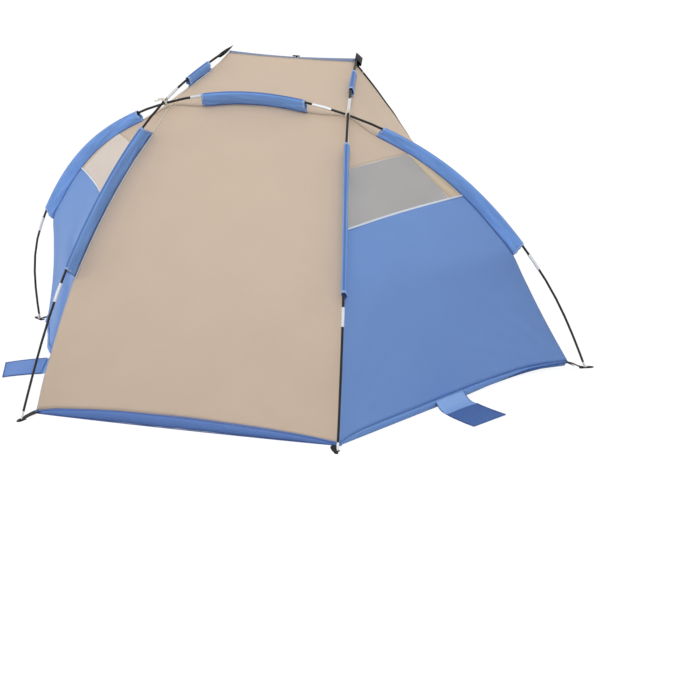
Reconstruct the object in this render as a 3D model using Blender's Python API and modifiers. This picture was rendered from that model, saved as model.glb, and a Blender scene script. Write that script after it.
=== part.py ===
"""Beach tent, pitched: two rear poles that reach forward to the eave, an arch pole under them, and the skin.

Metres, +Z up. The open front faces -Y, the rear panel faces +Y, and the ground is Z = 0.
Left and right are those of someone who stands in front of the open side and looks in, so left is -X.
Run it with Blender 4.5, in the background or from the text editor.
"""

import bisect
import math

import bpy
import numpy as np
from mathutils import Vector

# Plan and height of the pole frame
FRONT_SPAN = 2.000
REAR_SPAN = 1.064
EAVE_SPAN = 0.464
POLE_DEPTH = 1.190
EAVE_SETBACK = 0.130
EAVE_HEIGHT = 1.029
ARCH_DIP = 0.067
ARCH_TOP_BACK = 0.0329

# A rear pole from foot to eave: inward, forward and upward shares of the way
REAR_POLE_SHARES = (
    (0.000, 0.000, 0.000),
    (0.150, 0.168, 0.340),
    (0.394, 0.391, 0.647),
    (0.711, 0.681, 0.888),
    (1.000, 1.000, 1.000),
)
CROSSING_KNOT = 3

# The arch pole from its foot up: outward share of the half span, share of its lean back, share of its height
ARCH_FOOT_SHARES = (
    (1.000, 0.000, 0.000),
    (0.914, 0.388, 0.351),
    (0.839, 0.517, 0.499),
    (0.613, 0.753, 0.776),
)

# Pole hardware
POLE_RADIUS = 0.0040
POLE_BORE_RADIUS = 0.0020
CORD_RADIUS = 0.0014
FERRULE_LENGTH = 0.064
FERRULE_WALL = 0.0005
PIN_TIP_RADIUS = 0.0021
PIN_TIP_LENGTH = 0.010
PIN_COLLAR_RADIUS = 0.0037
PIN_LENGTH = 0.028
PIN_LIFT = 0.0022
REAR_JOINT_SHARES = (0.2715, 0.530)
TOP_FERRULE_GAP = 0.0121
ARCH_JOINT_SHARES = (0.1504, 0.290, 0.4270, 0.5590, 0.7049, 0.8504)
FIT_GAP = 0.0003
CROSSING_GAP = 0.0005
TUBE_SIDES = 8
SHARP_DEGREES = 40

# Stations along the poles, which the seams and the panels share
LOWER_STATIONS = 14
UPPER_STATIONS = 6
ARCH_SIDE_STATIONS = 16
ARCH_TOP_STATIONS = 4
NEAR_SHARE = 0.004

# Fabric: the modelled thickness stands in for cloth of 0.2 mm
PANEL_THICKNESS = 0.0015
FIN_THICKNESS = 0.0015
SEAM_GAP = 0.0003
SLEEVE_WALL = 0.0010
SLEEVE_CLEARANCE = 0.0004
PANEL_COLUMNS = 8
WING_COLUMNS = 4

# How far each seam lies from the pole that carries it: inward, forward, downward
REAR_SEAM_DROP = (0.0075, 0.0390, 0.0400)
NODE_DROP = (0.007, 0.026, 0.014)
EAVE_SEAM_DROP = (0.0010, 0.0090, 0.0280)
EAVE_CORNER_DROP = (0.0100, 0.0030, 0.0120)
ARCH_SEAM_DROP = (0.0260, -0.0110, 0.0320)
ARCH_SEAM_END_DROP = (0.0200, -0.0050, 0.0250)
ARCH_TOP_DROP = (0.0000, 0.0280, 0.0400)
SEAM_SAG = 0.006

# Sleeves: bare pole between the ferrule below and a sleeve's start, and past its end
# to the crossing or, on the eave sleeve, to the pole's tip
REAR_SLEEVE_GAP = 0.0467
REAR_SLEEVE_TAIL = 0.1275
EAVE_SLEEVE_GAP = 0.0604
EAVE_SLEEVE_TAIL = 0.1058
ARCH_SLEEVE_GAP = 0.0410
ARCH_SLEEVE_TAIL = 0.1227
TOP_SLEEVE_HALF = 0.180
SLEEVE_END_CLEAR = 0.012
POCKET_DROP = (-0.0190, 0.0020, 0.0200)
POCKET_DEPTH = 0.020
POCKET_CAP = 0.024

# The floor's corners, inside the feet and forward of the rear feet or back from the front feet,
# and the turned-up strip round it
REAR_CORNER_INSET = 0.012
REAR_CORNER_REACH = 0.086
FRONT_CORNER_INSET = 0.055
FRONT_CORNER_SETBACK = 0.025
STRIP_HEIGHT = 0.022
STRIP_FRONT_HEIGHT = 0.026
STRIP_FOOT = 0.004
CORNER_LIFT = 0.017
CORNER_LIFT_POWER = 8

# A side edge of the floor, drawn in by the cloth's pull: forward and outward shares of the way
SIDE_EDGE_SHARES = (
    (0.000, 0.000),
    (0.454, 0.350),
    (0.637, 0.495),
    (0.798, 0.640),
    (0.926, 0.815),
    (1.000, 1.000),
)
SIDE_EDGE_STATIONS = 12

# The front edge of the wings, as shares of the way from the eave corner to the front corner,
# each set back towards the rear and sideways from that straight way
FRONT_EDGE_SHARES = (0.17, 0.30, 0.42, 0.62)
FRONT_EDGE_BACK = (0.020, 0.165, 0.178, 0.110)
FRONT_EDGE_OUT = (0.014, 0.045, 0.062, 0.060)
EAVE_BOW = 0.026
HEM_WIDTH = 0.012

# Mesh windows: heights along the rear seam and the arch seam, as shares of each seam
WINDOW_REAR_SHARES = (0.609, 0.812)
WINDOW_ARCH_SHARES = (0.623, 0.810)
WINDOW_BOWS = (0.014, 0.009)

# Webbing at the feet
STRAP_WIDTH = 0.025
STRAP_THICKNESS = 0.0020
REAR_STRAP_TAIL = 0.024
FRONT_STRAP_TAIL = 0.030
REAR_STRAP_CLEARANCE = 0.0025
FRONT_STRAP_CLEARANCE = 0.0040
STRAP_ROUNDING = 0.004
EYELET_RADIUS = 0.0045
EYELET_SIDES = 12

# Sand pockets, on the ground beside the floor: the hem's two ends as shares of the floor's side edge,
# and how far the outer end's two corners lie out from the hem and back along it, for each side
FLAP_HEM_SHARES = (0.4385, 0.5741)
LEFT_FLAP_OUT = (0.2233, 0.2309)
LEFT_FLAP_BACK = (0.1060, 0.0972)
RIGHT_FLAP_OUT = (0.1694, 0.1770)
RIGHT_FLAP_BACK = (0.0839, 0.0752)
FLAP_DROP_SHARE = 0.25
FLAP_MOUTH_SHARE = 0.36
FLAP_SPACING_POWER = 1.5
FLAP_FALL_POWER = 2
FLAP_THICKNESS = 0.0015
FLAP_POCKET_THICKNESS = 0.0030
FLAP_STATIONS = 12
FLAP_AXIS_OFFSET = 0.0010

# Ties and toggle
TIE_RADIUS = 0.0015
TIE_SIDES = 16
TIE_CLEARANCE = 0.0010
TIE_SQUARENESS = 0.75
TOGGLE_PLACE = -0.021
TOGGLE_LENGTH = 0.026
TOGGLE_RADIUS = 0.0030
TOGGLE_GAP = 0.0004
TOGGLE_SIDES = 12
LOOP_WIDTH = 0.006
LOOP_THICKNESS = 0.0016

# Derived places in the plan
EAVE_REACH = POLE_DEPTH - EAVE_SETBACK
ARCH_HEIGHT = EAVE_HEIGHT - ARCH_DIP
REAR_CORNER_HALF = REAR_SPAN / 2 - REAR_CORNER_INSET
FRONT_CORNER_HALF = FRONT_SPAN / 2 - FRONT_CORNER_INSET
FRONT_CORNER_REACH = POLE_DEPTH - FRONT_CORNER_SETBACK
STRAP_SLANT = math.atan2(REAR_SPAN / 2 - REAR_CORNER_HALF, REAR_CORNER_REACH)
STRAP_CORNER = STRAP_WIDTH / 2 - STRAP_ROUNDING
REAR_MOST = REAR_STRAP_TAIL * math.cos(STRAP_SLANT) + STRAP_CORNER * math.sin(STRAP_SLANT)
FRONT_SLANT = math.atan2(POLE_DEPTH - FRONT_CORNER_REACH, FRONT_SPAN / 2 - FRONT_CORNER_HALF)
FRONT_TAIL = (FRONT_STRAP_TAIL - STRAP_ROUNDING) * math.sin(FRONT_SLANT)
FRONT_MOST = POLE_DEPTH + FRONT_TAIL + STRAP_WIDTH / 2 * math.cos(FRONT_SLANT)
DEPTH = FRONT_MOST + REAR_MOST
REAR_LINE = DEPTH / 2 - REAR_MOST
MIRROR = np.array([-1.0, 1.0, 1.0])
INSIDE_HEIGHT_SHARE = 0.333
INSIDE = np.array([0.0, REAR_LINE - DEPTH / 2, EAVE_HEIGHT * INSIDE_HEIGHT_SHARE])
ROUND = math.cos(math.pi / TUBE_SIDES)
FERRULE_BORE = (POLE_RADIUS + FIT_GAP) / ROUND
FERRULE_RADIUS = FERRULE_BORE + FERRULE_WALL
PLAIN_SLEEVE_BORE = POLE_RADIUS + SLEEVE_CLEARANCE
WIDE_SLEEVE_BORE = FERRULE_RADIUS + SLEEVE_CLEARANCE
FIN_ROOT = PANEL_THICKNESS + 2 * SEAM_GAP
GUSSET_TRIM = 2 * FIN_ROOT
WING_TRIM = 3 * FIN_ROOT

COLOURS = {
    "tan_polyester": ((0.600, 0.468, 0.358), 0.75, 0.0),
    "blue_polyester": ((0.147, 0.270, 0.552), 0.70, 0.0),
    "sleeve_blue": ((0.117, 0.235, 0.560), 0.65, 0.0),
    "mesh_grey": ((0.500, 0.485, 0.470), 0.80, 0.0),
    "fibreglass_black": ((0.012, 0.012, 0.014), 0.30, 0.0),
    "ferrule_silver": ((0.620, 0.625, 0.640), 0.30, 0.9),
    "pin_white": ((0.780, 0.780, 0.770), 0.40, 0.0),
    "cord_white": ((0.700, 0.690, 0.660), 0.80, 0.0),
    "tie_cream": ((0.720, 0.670, 0.560), 0.80, 0.0),
    "webbing_black": ((0.015, 0.015, 0.017), 0.75, 0.0),
}


def clear_scene():
    for item in list(bpy.data.objects):
        bpy.data.objects.remove(item, do_unlink=True)


def make_material(name):
    colour, roughness, metallic = COLOURS[name]
    material = bpy.data.materials.new(name)
    material.use_nodes = True
    shader = material.node_tree.nodes["Principled BSDF"]
    shader.inputs["Base Color"].default_value = (*colour, 1.0)
    shader.inputs["Roughness"].default_value = roughness
    shader.inputs["Metallic"].default_value = metallic
    return material


def place(name, data, material):
    """Put mesh or curve data in the tent's collection as one named sub-part."""
    item = bpy.data.objects.new(name, data)
    data.materials.append(MATERIALS[material])
    TENT.objects.link(item)
    return item


def at(x, reach, z):
    """A point given by its reach forward from the line through the rear feet."""
    return np.array([x, REAR_LINE - reach, z])


def offset(drop, side):
    """A drop from a pole as a vector: inward, forward and downward, on the side of that sign."""
    inward, forward, downward = drop
    return np.array([-side * inward, -forward, -downward])


def unit(vector):
    length = np.linalg.norm(vector)
    return vector / length if length else vector


def natural_spline(knots):
    """The shape of a thin rod bent through the knots, as a function of the distance along its chords."""
    points = np.array(knots, float)
    spans = np.linalg.norm(np.diff(points, axis=0), axis=1)
    places = np.concatenate(([0.0], np.cumsum(spans)))
    count = len(points)
    system = np.eye(count)
    load = np.zeros_like(points)
    for i in range(1, count - 1):
        before, after = spans[i - 1], spans[i]
        system[i, i - 1 : i + 2] = before, 2 * (before + after), after
        rise = (points[i + 1] - points[i]) / after
        fall = (points[i] - points[i - 1]) / before
        load[i] = 6 * (rise - fall)
    bend = np.linalg.solve(system, load)

    def shape(where):
        i = min(max(bisect.bisect_right(places, where) - 1, 0), count - 2)
        span = spans[i]
        a = (places[i + 1] - where) / span
        b = (where - places[i]) / span
        curl = ((a**3 - a) * bend[i] + (b**3 - b) * bend[i + 1]) * span * span / 6
        return a * points[i] + b * points[i + 1] + curl

    return shape, places


def along(shape, start, end, count):
    """Points at even steps of a spline's parameter, both ends included."""
    return [shape(start + (end - start) * i / count) for i in range(count + 1)]


class Path:
    """A run of straight stretches between stations, measured by its length."""

    def __init__(self, points):
        self.points = [np.array(p, float) for p in points]
        steps = [np.linalg.norm(b - a) for a, b in zip(self.points, self.points[1:])]
        self.places = np.concatenate(([0.0], np.cumsum(steps)))
        self.length = float(self.places[-1])

    def index(self, where):
        """The stretch that holds a place, and the share of that stretch before it."""
        last = len(self.points) - 2
        i = min(max(bisect.bisect_right(list(self.places), where) - 1, 0), last)
        span = self.places[i + 1] - self.places[i]
        return i, (where - self.places[i]) / span

    def point(self, where):
        i, share = self.index(where)
        return self.points[i] * (1 - share) + self.points[i + 1] * share

    def stations(self, start, end, clear=SEAM_GAP):
        """Places from start to end with the stations between them that stay clear of both."""
        inner = [p for p in self.places if start + clear < p < end - clear]
        return [start, *inner, end]

    def stretch(self, start, end):
        return [self.point(where) for where in self.stations(start, end)]

    def tangent(self, where):
        """The direction at a place: the mean of both stretches at a station."""
        probe = SEAM_GAP
        return unit(self.point(where + probe) - self.point(where - probe))


# Poles


def rear_pole_path(side):
    """Axis of a rear pole from its foot to its tip in the eave pocket."""
    half, eave_half = REAR_SPAN / 2, EAVE_SPAN / 2
    knots = [
        at(side * (half + (eave_half - half) * inward), EAVE_REACH * forward, EAVE_HEIGHT * upward)
        for inward, forward, upward in REAR_POLE_SHARES
    ]
    shape, places = natural_spline(knots)
    crossing = places[CROSSING_KNOT]
    points = along(shape, 0, crossing, LOWER_STATIONS)
    points += along(shape, crossing, places[-1], UPPER_STATIONS)[1:]
    return Path(points)


def arch_pole_path(crossing, rear_way):
    """Axis of the arch pole from the left foot to the right foot, under both rear poles."""
    half = FRONT_SPAN / 2
    top_reach = REAR_LINE - crossing[1] - ARCH_TOP_BACK
    lean = POLE_DEPTH - top_reach
    knots = [
        at(-half * outward, POLE_DEPTH - lean * back, ARCH_HEIGHT * rise)
        for outward, back, rise in ARCH_FOOT_SHARES
    ]
    top = at(0, top_reach, ARCH_HEIGHT)
    across = unit(top - knots[-1])
    down = unit(np.cross(rear_way, across))
    down *= -np.sign(down[2])
    under = crossing + down * (2 * POLE_RADIUS + CROSSING_GAP)
    left = [*knots, under]
    right = [point * MIRROR for point in reversed(left)]
    shape, places = natural_spline([*left, top, *right])
    first, middle = places[len(knots)], places[len(knots) + 1]
    points = along(shape, 0, first, ARCH_SIDE_STATIONS)
    points += along(shape, first, middle, ARCH_TOP_STATIONS)[1:]
    points += [point * MIRROR for point in reversed(points[:-1])]
    return Path(points)


def rear_places(path):
    """Joints and sleeve ends of a rear pole, measured along it from the foot."""
    crossing = path.places[LOWER_STATIONS]
    half = FERRULE_LENGTH / 2
    joints = [path.length * share for share in REAR_JOINT_SHARES]
    joints.append(crossing + TOP_FERRULE_GAP + half)
    sleeve_start = joints[0] + half + REAR_SLEEVE_GAP
    eave_start = joints[-1] + half + EAVE_SLEEVE_GAP
    return {
        "crossing": crossing,
        "joints": joints,
        "sleeve": (sleeve_start, crossing - REAR_SLEEVE_TAIL),
        "eave_sleeve": (eave_start, path.length - EAVE_SLEEVE_TAIL),
    }


def arch_places(path):
    """Joints of the arch pole and the ends of its left and top sleeves, measured from the left foot."""
    crossing = path.places[ARCH_SIDE_STATIONS]
    joints = [path.length * share for share in ARCH_JOINT_SHARES]
    sleeve_start = joints[0] + FERRULE_LENGTH / 2 + ARCH_SLEEVE_GAP
    middle = path.length / 2
    return {
        "crossing": crossing,
        "joints": joints,
        "sleeve": (sleeve_start, crossing - ARCH_SLEEVE_TAIL),
        "top_sleeve": (middle - TOP_SLEEVE_HALF, middle + TOP_SLEEVE_HALF),
    }


def rod(name, path, profile, material):
    """A solid round bar along a path; the profile gives its radius at each place."""
    widest = max(radius for _, radius in profile)
    places = [profile[0]]
    for (start, radius), (end, next_radius) in zip(profile, profile[1:]):
        if radius == next_radius:
            places += [(where, radius) for where in path.stations(start, end)[1:-1]]
        places.append((end, next_radius))
    curve = tube_curve(name, [path.point(where) for where, _ in places], widest)
    curve.use_fill_caps = True
    for point, (_, radius) in zip(curve.splines[0].points, places):
        point.radius = radius / widest
    place(name, curve, material)


def tube_curve(name, points, radius):
    curve = bpy.data.curves.new(name, "CURVE")
    curve.dimensions = "3D"
    curve.twist_mode = "Z_UP"
    curve.bevel_depth = radius
    curve.bevel_resolution = TUBE_SIDES // 2 - 2
    spline = curve.splines.new("POLY")
    spline.points.add(len(points) - 1)
    for target, point in zip(spline.points, points):
        target.co = (*point, 1.0)
    return curve


def tube(name, path, start, end, radius, bore, material):
    """A round tube along a path, open at both ends."""
    item = place(name, tube_curve(name, path.stretch(start, end), radius), material)
    wall = item.modifiers.new("wall", "SOLIDIFY")
    wall.thickness = radius - bore
    wall.offset = -1.0


def collared_tube(name, path, start, end, material):
    """A pole section with a hidden ferrule bonded on its far end, which takes the next section."""
    half = FERRULE_LENGTH / 2
    outer = [(where, POLE_RADIUS) for where in path.stations(start, end - half)]
    outer += [(where, FERRULE_RADIUS) for where in path.stations(end - half, end + half)]
    inner = [(where, POLE_BORE_RADIUS) for where in path.stations(start, end)]
    inner += [(where, FERRULE_BORE) for where in path.stations(end, end + half)]
    place(name, lofted_mesh(name, rings(path, outer), rings(path, inner)), material)


def rings(path, profile):
    """Rings of points round a path, one for each place and radius."""
    loops = []
    for where, radius in profile:
        centre, way = path.point(where), path.tangent(where)
        side = unit(np.cross(way, (0.0, 0.0, 1.0)))
        up = np.cross(side, way)
        turns = [2 * math.pi * i / TUBE_SIDES for i in range(TUBE_SIDES)]
        loops.append([centre + radius * (math.cos(a) * side + math.sin(a) * up) for a in turns])
    return loops


def lofted_mesh(name, outer, inner, blind=False):
    """A closed wall between two runs of rings; a blind one is shut at its far end."""
    count = len(outer[0])
    points = [point for ring in outer + inner for point in ring]
    first_inner = len(outer) * count
    faces = []
    for run, first, flip in ((outer, 0, False), (inner, first_inner, True)):
        for i in range(len(run) - 1):
            for j in range(count):
                a, b = first + i * count + j, first + i * count + (j + 1) % count
                quad = (a, b, b + count, a + count)
                faces.append(quad[::-1] if flip else quad)
    last_outer = (len(outer) - 1) * count
    last_inner = first_inner + (len(inner) - 1) * count
    for j in range(count):
        k = (j + 1) % count
        faces.append((j, first_inner + j, first_inner + k, k))
        if not blind:
            faces.append((last_outer + j, last_outer + k, last_inner + k, last_inner + j))
    if blind:
        faces.append(tuple(last_outer + j for j in range(count)))
        faces.append(tuple(last_inner + j for j in reversed(range(count))))
    mesh = bpy.data.meshes.new(name)
    mesh.from_pydata([tuple(p) for p in points], [], faces)
    face_outward(mesh)
    mesh.shade_smooth()
    mesh.set_sharp_from_angle(angle=math.radians(SHARP_DEGREES))
    return mesh


def face_outward(mesh):
    """Turn a closed mesh's faces outward if its volume comes out negative."""
    points = [np.array(v.co) for v in mesh.vertices]
    volume = 0.0
    for face in mesh.polygons:
        corners = [points[i] for i in face.vertices]
        for b, c in zip(corners[1:], corners[2:]):
            volume += np.dot(corners[0], np.cross(b, c))
    if volume < 0:
        mesh.flip_normals()


def pole_sections(name, path, joints, hidden, feet):
    """A pole's sections between its feet, the ferrules that join them and the shock cord inside."""
    start = PIN_LIFT + PIN_LENGTH + FIT_GAP
    end = path.length - (start if feet == 2 else 0.0)
    begins = [start, *[joint + FIT_GAP for joint in joints]]
    ends = [*joints, end]
    for number, (begin, finish) in enumerate(zip(begins, ends), 1):
        section = f"{name}_pole_{number}"
        if number in hidden:
            collared_tube(section, path, begin, finish, "fibreglass_black")
        else:
            tube(section, path, begin, finish, POLE_RADIUS, POLE_BORE_RADIUS, "fibreglass_black")
    half = FERRULE_LENGTH / 2
    for number, joint in enumerate(joints, 1):
        if number not in hidden:
            ferrule = f"{name}_ferrule_{number}"
            tube(ferrule, path, joint - half, joint + half, FERRULE_RADIUS, FERRULE_BORE, "ferrule_silver")
    cord_end = end if feet == 2 else end - POLE_RADIUS
    cord = [(start, CORD_RADIUS), (cord_end, CORD_RADIUS)]
    rod(f"{name}_shock_cord", path, cord, "cord_white")


def foot_pin(name, path):
    """The stepped pin at a pole's foot: its tip goes through the strap's eyelet."""
    tip_end = PIN_LIFT + PIN_TIP_LENGTH
    profile = [
        (PIN_LIFT, PIN_TIP_RADIUS),
        (tip_end, PIN_TIP_RADIUS),
        (tip_end + FIT_GAP, PIN_COLLAR_RADIUS),
        (PIN_LIFT + PIN_LENGTH, PIN_COLLAR_RADIUS),
    ]
    rod(name, path, profile, "pin_white")


# Seams: each runs on the same stations as the pole that carries it


def blend(path, knots):
    """Offsets from a pole at each station, eased between the named ones."""
    places = [where for where, _ in knots]
    offsets = [vector for _, vector in knots]
    seam = []
    for where, point in zip(path.places, path.points):
        i = min(max(bisect.bisect_right(places, where) - 1, 0), len(places) - 2)
        share = min(max((where - places[i]) / (places[i + 1] - places[i]), 0.0), 1.0)
        eased = share * share * (3 - 2 * share)
        seam.append(point + offsets[i] * (1 - eased) + offsets[i + 1] * eased)
    return seam


def pulled_straight(path, seam, foot, start, side):
    """The seam's free stretch below the side sleeve, pulled nearly straight down to the floor's corner."""
    top = path.point(start) + offset(ARCH_SEAM_DROP, side)
    straight = []
    for where, point in zip(path.places, seam):
        share = where / start
        if share < 1:
            sag = SEAM_SAG * math.sin(math.pi * share)
            point = foot * (1 - share) + top * share - np.array([side * sag, 0.0, 0.0])
        straight.append(point)
    return straight


def rear_seam(path, node, side):
    """Seam under a rear pole, from the floor's rear corner through the crossing to the eave corner."""
    places = rear_places(path)
    corner = at(side * REAR_CORNER_HALF, REAR_CORNER_REACH, STRIP_HEIGHT)
    knots = [
        (0.0, corner - path.points[0]),
        *[(where, offset(REAR_SEAM_DROP, side)) for where in places["sleeve"]],
        (places["crossing"], node - path.points[LOWER_STATIONS]),
        *[(where, offset(EAVE_SEAM_DROP, side)) for where in places["eave_sleeve"]],
        (path.length, offset(EAVE_CORNER_DROP, side)),
    ]
    return blend(path, knots)


def arch_seam(path, nodes):
    """Seam under the arch pole, from the left front corner over the top to the right front corner."""
    places = arch_places(path)
    start, end = places["sleeve"]
    corner = at(-FRONT_CORNER_HALF, FRONT_CORNER_REACH, STRIP_FRONT_HEIGHT)
    left = [
        (0.0, corner - path.points[0]),
        (start, offset(ARCH_SEAM_DROP, -1)),
        (end, offset(ARCH_SEAM_END_DROP, -1)),
        (places["crossing"], nodes[-1] - path.points[ARCH_SIDE_STATIONS]),
        (places["top_sleeve"][0], offset(ARCH_TOP_DROP, -1)),
    ]
    right = [(path.length - where, vector * MIRROR) for where, vector in reversed(left)]
    seam = blend(path, [*left, *right])
    seam = pulled_straight(path, seam, corner, start, -1)
    half = len(seam) // 2
    return [*seam[: half + 1], *[point * MIRROR for point in reversed(seam[:half])]]


# Fabric panels


def share_path(points):
    """A function that finds a point of a run of points by its share of the length."""
    path = Path(points)
    if path.length < SEAM_GAP:
        return lambda share: path.points[0]
    return lambda share: path.point(share * path.length)


def shares_of(points):
    path = Path(points)
    return [float(where) / path.length for where in path.places]


def merged(*lists):
    """All the shares in the lists, without near doubles."""
    kept = []
    for share in sorted(value for values in lists for value in values):
        if not kept or share - kept[-1] > NEAR_SHARE:
            kept.append(share)
    kept[-1] = 1.0
    return kept


def even(count):
    return [i / count for i in range(count + 1)]


def patch(near, far, left, right, rows, columns):
    """Grid of a sheet stretched between four edges; near and far run from left to right."""
    near_at, far_at = share_path(near), share_path(far)
    left_at, right_at = share_path(left), share_path(right)
    corners = near[0], near[-1], far[0], far[-1]
    grid = np.zeros((len(rows), len(columns), 3))
    for i, v in enumerate(rows):
        for j, u in enumerate(columns):
            between = near_at(u) * (1 - v) + far_at(u) * v
            across = left_at(v) * (1 - u) + right_at(v) * u
            low = corners[0] * (1 - u) + corners[1] * u
            high = corners[2] * (1 - u) + corners[3] * u
            grid[i, j] = between + across - low * (1 - v) - high * v
    return grid


def tucked(grid, gap):
    """Draw a grid's four edges in by a gap, so that neighbours at a seam stay clear."""
    drawn = grid.copy()
    for edge, inner in ((0, 1), (-1, -2)):
        drawn[edge] += toward(grid[edge], grid[inner], gap)
        drawn[:, edge] += toward(grid[:, edge], grid[:, inner], gap)
    return drawn


def toward(edge, inner, gap):
    way = inner - edge
    return way / np.linalg.norm(way, axis=1, keepdims=True) * gap


def panel(name, grid, material):
    """A sheet with its thickness outside the grid's surface."""
    rows, columns, _ = grid.shape
    faces = []
    for i in range(rows - 1):
        for j in range(columns - 1):
            a = i * columns + j
            faces.append((a, a + 1, a + columns + 1, a + columns))
    mesh = bpy.data.meshes.new(name)
    mesh.from_pydata([tuple(p) for p in grid.reshape(-1, 3)], [], faces)
    mesh.update()
    facing = sum(
        np.dot(np.array(face.normal), np.array(face.center) - INSIDE) * face.area for face in mesh.polygons
    )
    if facing < 0:
        mesh.flip_normals()
    mesh.shade_smooth()
    item = place(name, mesh, material)
    cloth = item.modifiers.new("cloth", "SOLIDIFY")
    cloth.thickness = PANEL_THICKNESS
    cloth.offset = 1.0


def side_curve(side):
    """Top of the floor's strip along a side, from the rear corner to the front corner."""
    wide = FRONT_CORNER_HALF - REAR_CORNER_HALF
    deep = FRONT_CORNER_REACH - REAR_CORNER_REACH
    high = STRIP_FRONT_HEIGHT - STRIP_HEIGHT
    knots = []
    for forward, outward in SIDE_EDGE_SHARES:
        half = REAR_CORNER_HALF + wide * outward
        height = STRIP_HEIGHT + high * forward
        knots.append(at(side * half, REAR_CORNER_REACH + deep * forward, height))
    shape, places = natural_spline(knots)
    return along(shape, 0, places[-1], SIDE_EDGE_STATIONS)


def cut_edge(points, start, end):
    """The stretch of an edge between two shares of its length, with its own stations."""
    path = Path(points)
    return path.stretch(start * path.length, end * path.length)


def bowed(start, end, bow, columns):
    """A line across the side, drawn in towards the middle of the tent as stretched cloth is."""
    way = unit(end - start)
    inward = np.cross(way, (0.0, 0.0, 1.0))
    inward *= -np.sign(inward[0] * start[0])
    return [start * (1 - u) + end * u + inward * bow * math.sin(math.pi * u) for u in columns]


def side_panels(name, side, lower_seam, side_seam, ground):
    """Blue side panel, mesh window and the gusset over it, between the rear seam and the arch seam."""
    cuts_rear = (0.0, *WINDOW_REAR_SHARES, 1.0)
    cuts_arch = (0.0, *WINDOW_ARCH_SHARES, 1.0)
    names = (f"{name}_side_panel", f"{name}_mesh_window", f"{name}_side_gusset")
    materials = ("blue_polyester", "mesh_grey", "tan_polyester")
    columns = even(PANEL_COLUMNS)
    lower = ground
    gusset = len(names) - 1
    for level, (node, material) in enumerate(zip(names, materials)):
        rear = cut_edge(lower_seam, cuts_rear[level], cuts_rear[level + 1])
        arch = cut_edge(side_seam, cuts_arch[level], cuts_arch[level + 1])
        rows = merged(shares_of(rear), shares_of(arch))
        if level == gusset:
            rows = trimmed(rows, GUSSET_TRIM / Path(rear).length)
            grid = patch(lower, [rear[-1]] * len(columns), rear, arch, rows, columns)
        else:
            upper = bowed(rear[-1], arch[-1], WINDOW_BOWS[level], columns)
            grid = patch(lower, upper, rear, arch, rows, merged(columns, shares_of(lower)))
            lower = upper
        panel(node, tucked(grid, SEAM_GAP), material)


def trimmed(rows, trim):
    """Rows of a sheet that runs to a point, cut off square short of the point."""
    return [row for row in rows if row < 1 - 2 * trim] + [1 - trim]


def front_edge(side, eave_corner):
    """The scalloped front edge of a wing, from the eave corner down to the front corner."""
    foot = at(side * FRONT_CORNER_HALF, FRONT_CORNER_REACH, STRIP_FRONT_HEIGHT)
    knots = [eave_corner]
    for share, back, out in zip(FRONT_EDGE_SHARES, FRONT_EDGE_BACK, FRONT_EDGE_OUT):
        straight = eave_corner * (1 - share) + foot * share
        knots.append(straight + np.array([side * out, back, 0.0]))
    knots.append(foot)
    shape, places = natural_spline(knots)
    return along(shape, 0, places[-1], ARCH_SIDE_STATIONS)


def wing_panel(name, side_seam, upper_seam, edge):
    """The wing between the arch seam and the front edge, narrowing down to the front corner."""
    down = [point for point in reversed(side_seam)]
    rows = trimmed(merged(shares_of(down), shares_of(edge)), WING_TRIM / Path(edge).length)
    columns = merged(even(WING_COLUMNS), shares_of(upper_seam))
    grid = patch(upper_seam, [down[-1]] * len(upper_seam), down, edge, rows, columns)
    panel(f"{name}_wing_panel", tucked(grid, SEAM_GAP), "tan_polyester")


def eave_curve(left_corner, right_corner, forward):
    """The eave, bowed back between the corners; forward moves it out by the hem's width."""
    middle = (left_corner + right_corner) / 2 + np.array([0.0, EAVE_BOW, 0.0])
    knots = [left_corner, middle, right_corner]
    knots = [knot - np.array([0.0, forward, 0.0]) for knot in knots]
    shape, places = natural_spline(knots)
    return along(shape, 0, places[-1], 2 * ARCH_TOP_STATIONS)


def floor_sheet(sides):
    """Ground sheet with its edge turned up at the rear and the sides, open at the front."""
    lift = np.array([0.0, 0.0, PANEL_THICKNESS])
    left_rim, right_rim = sides[-1], sides[1]
    columns = even(PANEL_COLUMNS)
    rear_rim = [left_rim[0] * (1 - u) + right_rim[0] * u for u in columns]

    def base(points, way):
        return [point * np.array([1.0, 1.0, 0.0]) + lift + way for point in points]

    left_base = base(left_rim, np.array([STRIP_FOOT, 0.0, 0.0]))
    right_base = base(right_rim, np.array([-STRIP_FOOT, 0.0, 0.0]))
    for points in (left_base, right_base):
        points[0] = points[0] - np.array([0.0, STRIP_FOOT, 0.0])
    near = [left_base[0] * (1 - u) + right_base[0] * u for u in columns]
    far = [left_base[-1] * (1 - u) + right_base[-1] * u for u in columns]
    rows = shares_of(left_rim)
    grid = patch(near, far, left_base, right_base, rows, columns)
    for i, v in enumerate(rows):
        for j, u in enumerate(columns):
            grid[i, j, 2] += CORNER_LIFT * (v * abs(2 * u - 1)) ** CORNER_LIFT_POWER
    full = np.zeros((grid.shape[0] + 1, grid.shape[1] + 2, 3))
    full[1:, 1:-1] = grid
    down = np.array([0.0, 0.0, SEAM_GAP])
    full[0, 1:-1] = np.array(rear_rim) - down
    full[1:, 0] = np.array(left_rim) - down
    full[1:, -1] = np.array(right_rim) - down
    for edge, inner, beyond in ((0, 1, 2), (-1, -2, -3)):
        corner = full[1, edge].copy()
        full[0, edge] = corner
        full[0, inner] = corner + unit(full[0, beyond] - corner) * SEAM_GAP
        full[1, edge] = corner + unit(full[2, edge] - corner) * SEAM_GAP
    panel("floor_sheet", full, "blue_polyester")


# Sleeves and pockets


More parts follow.
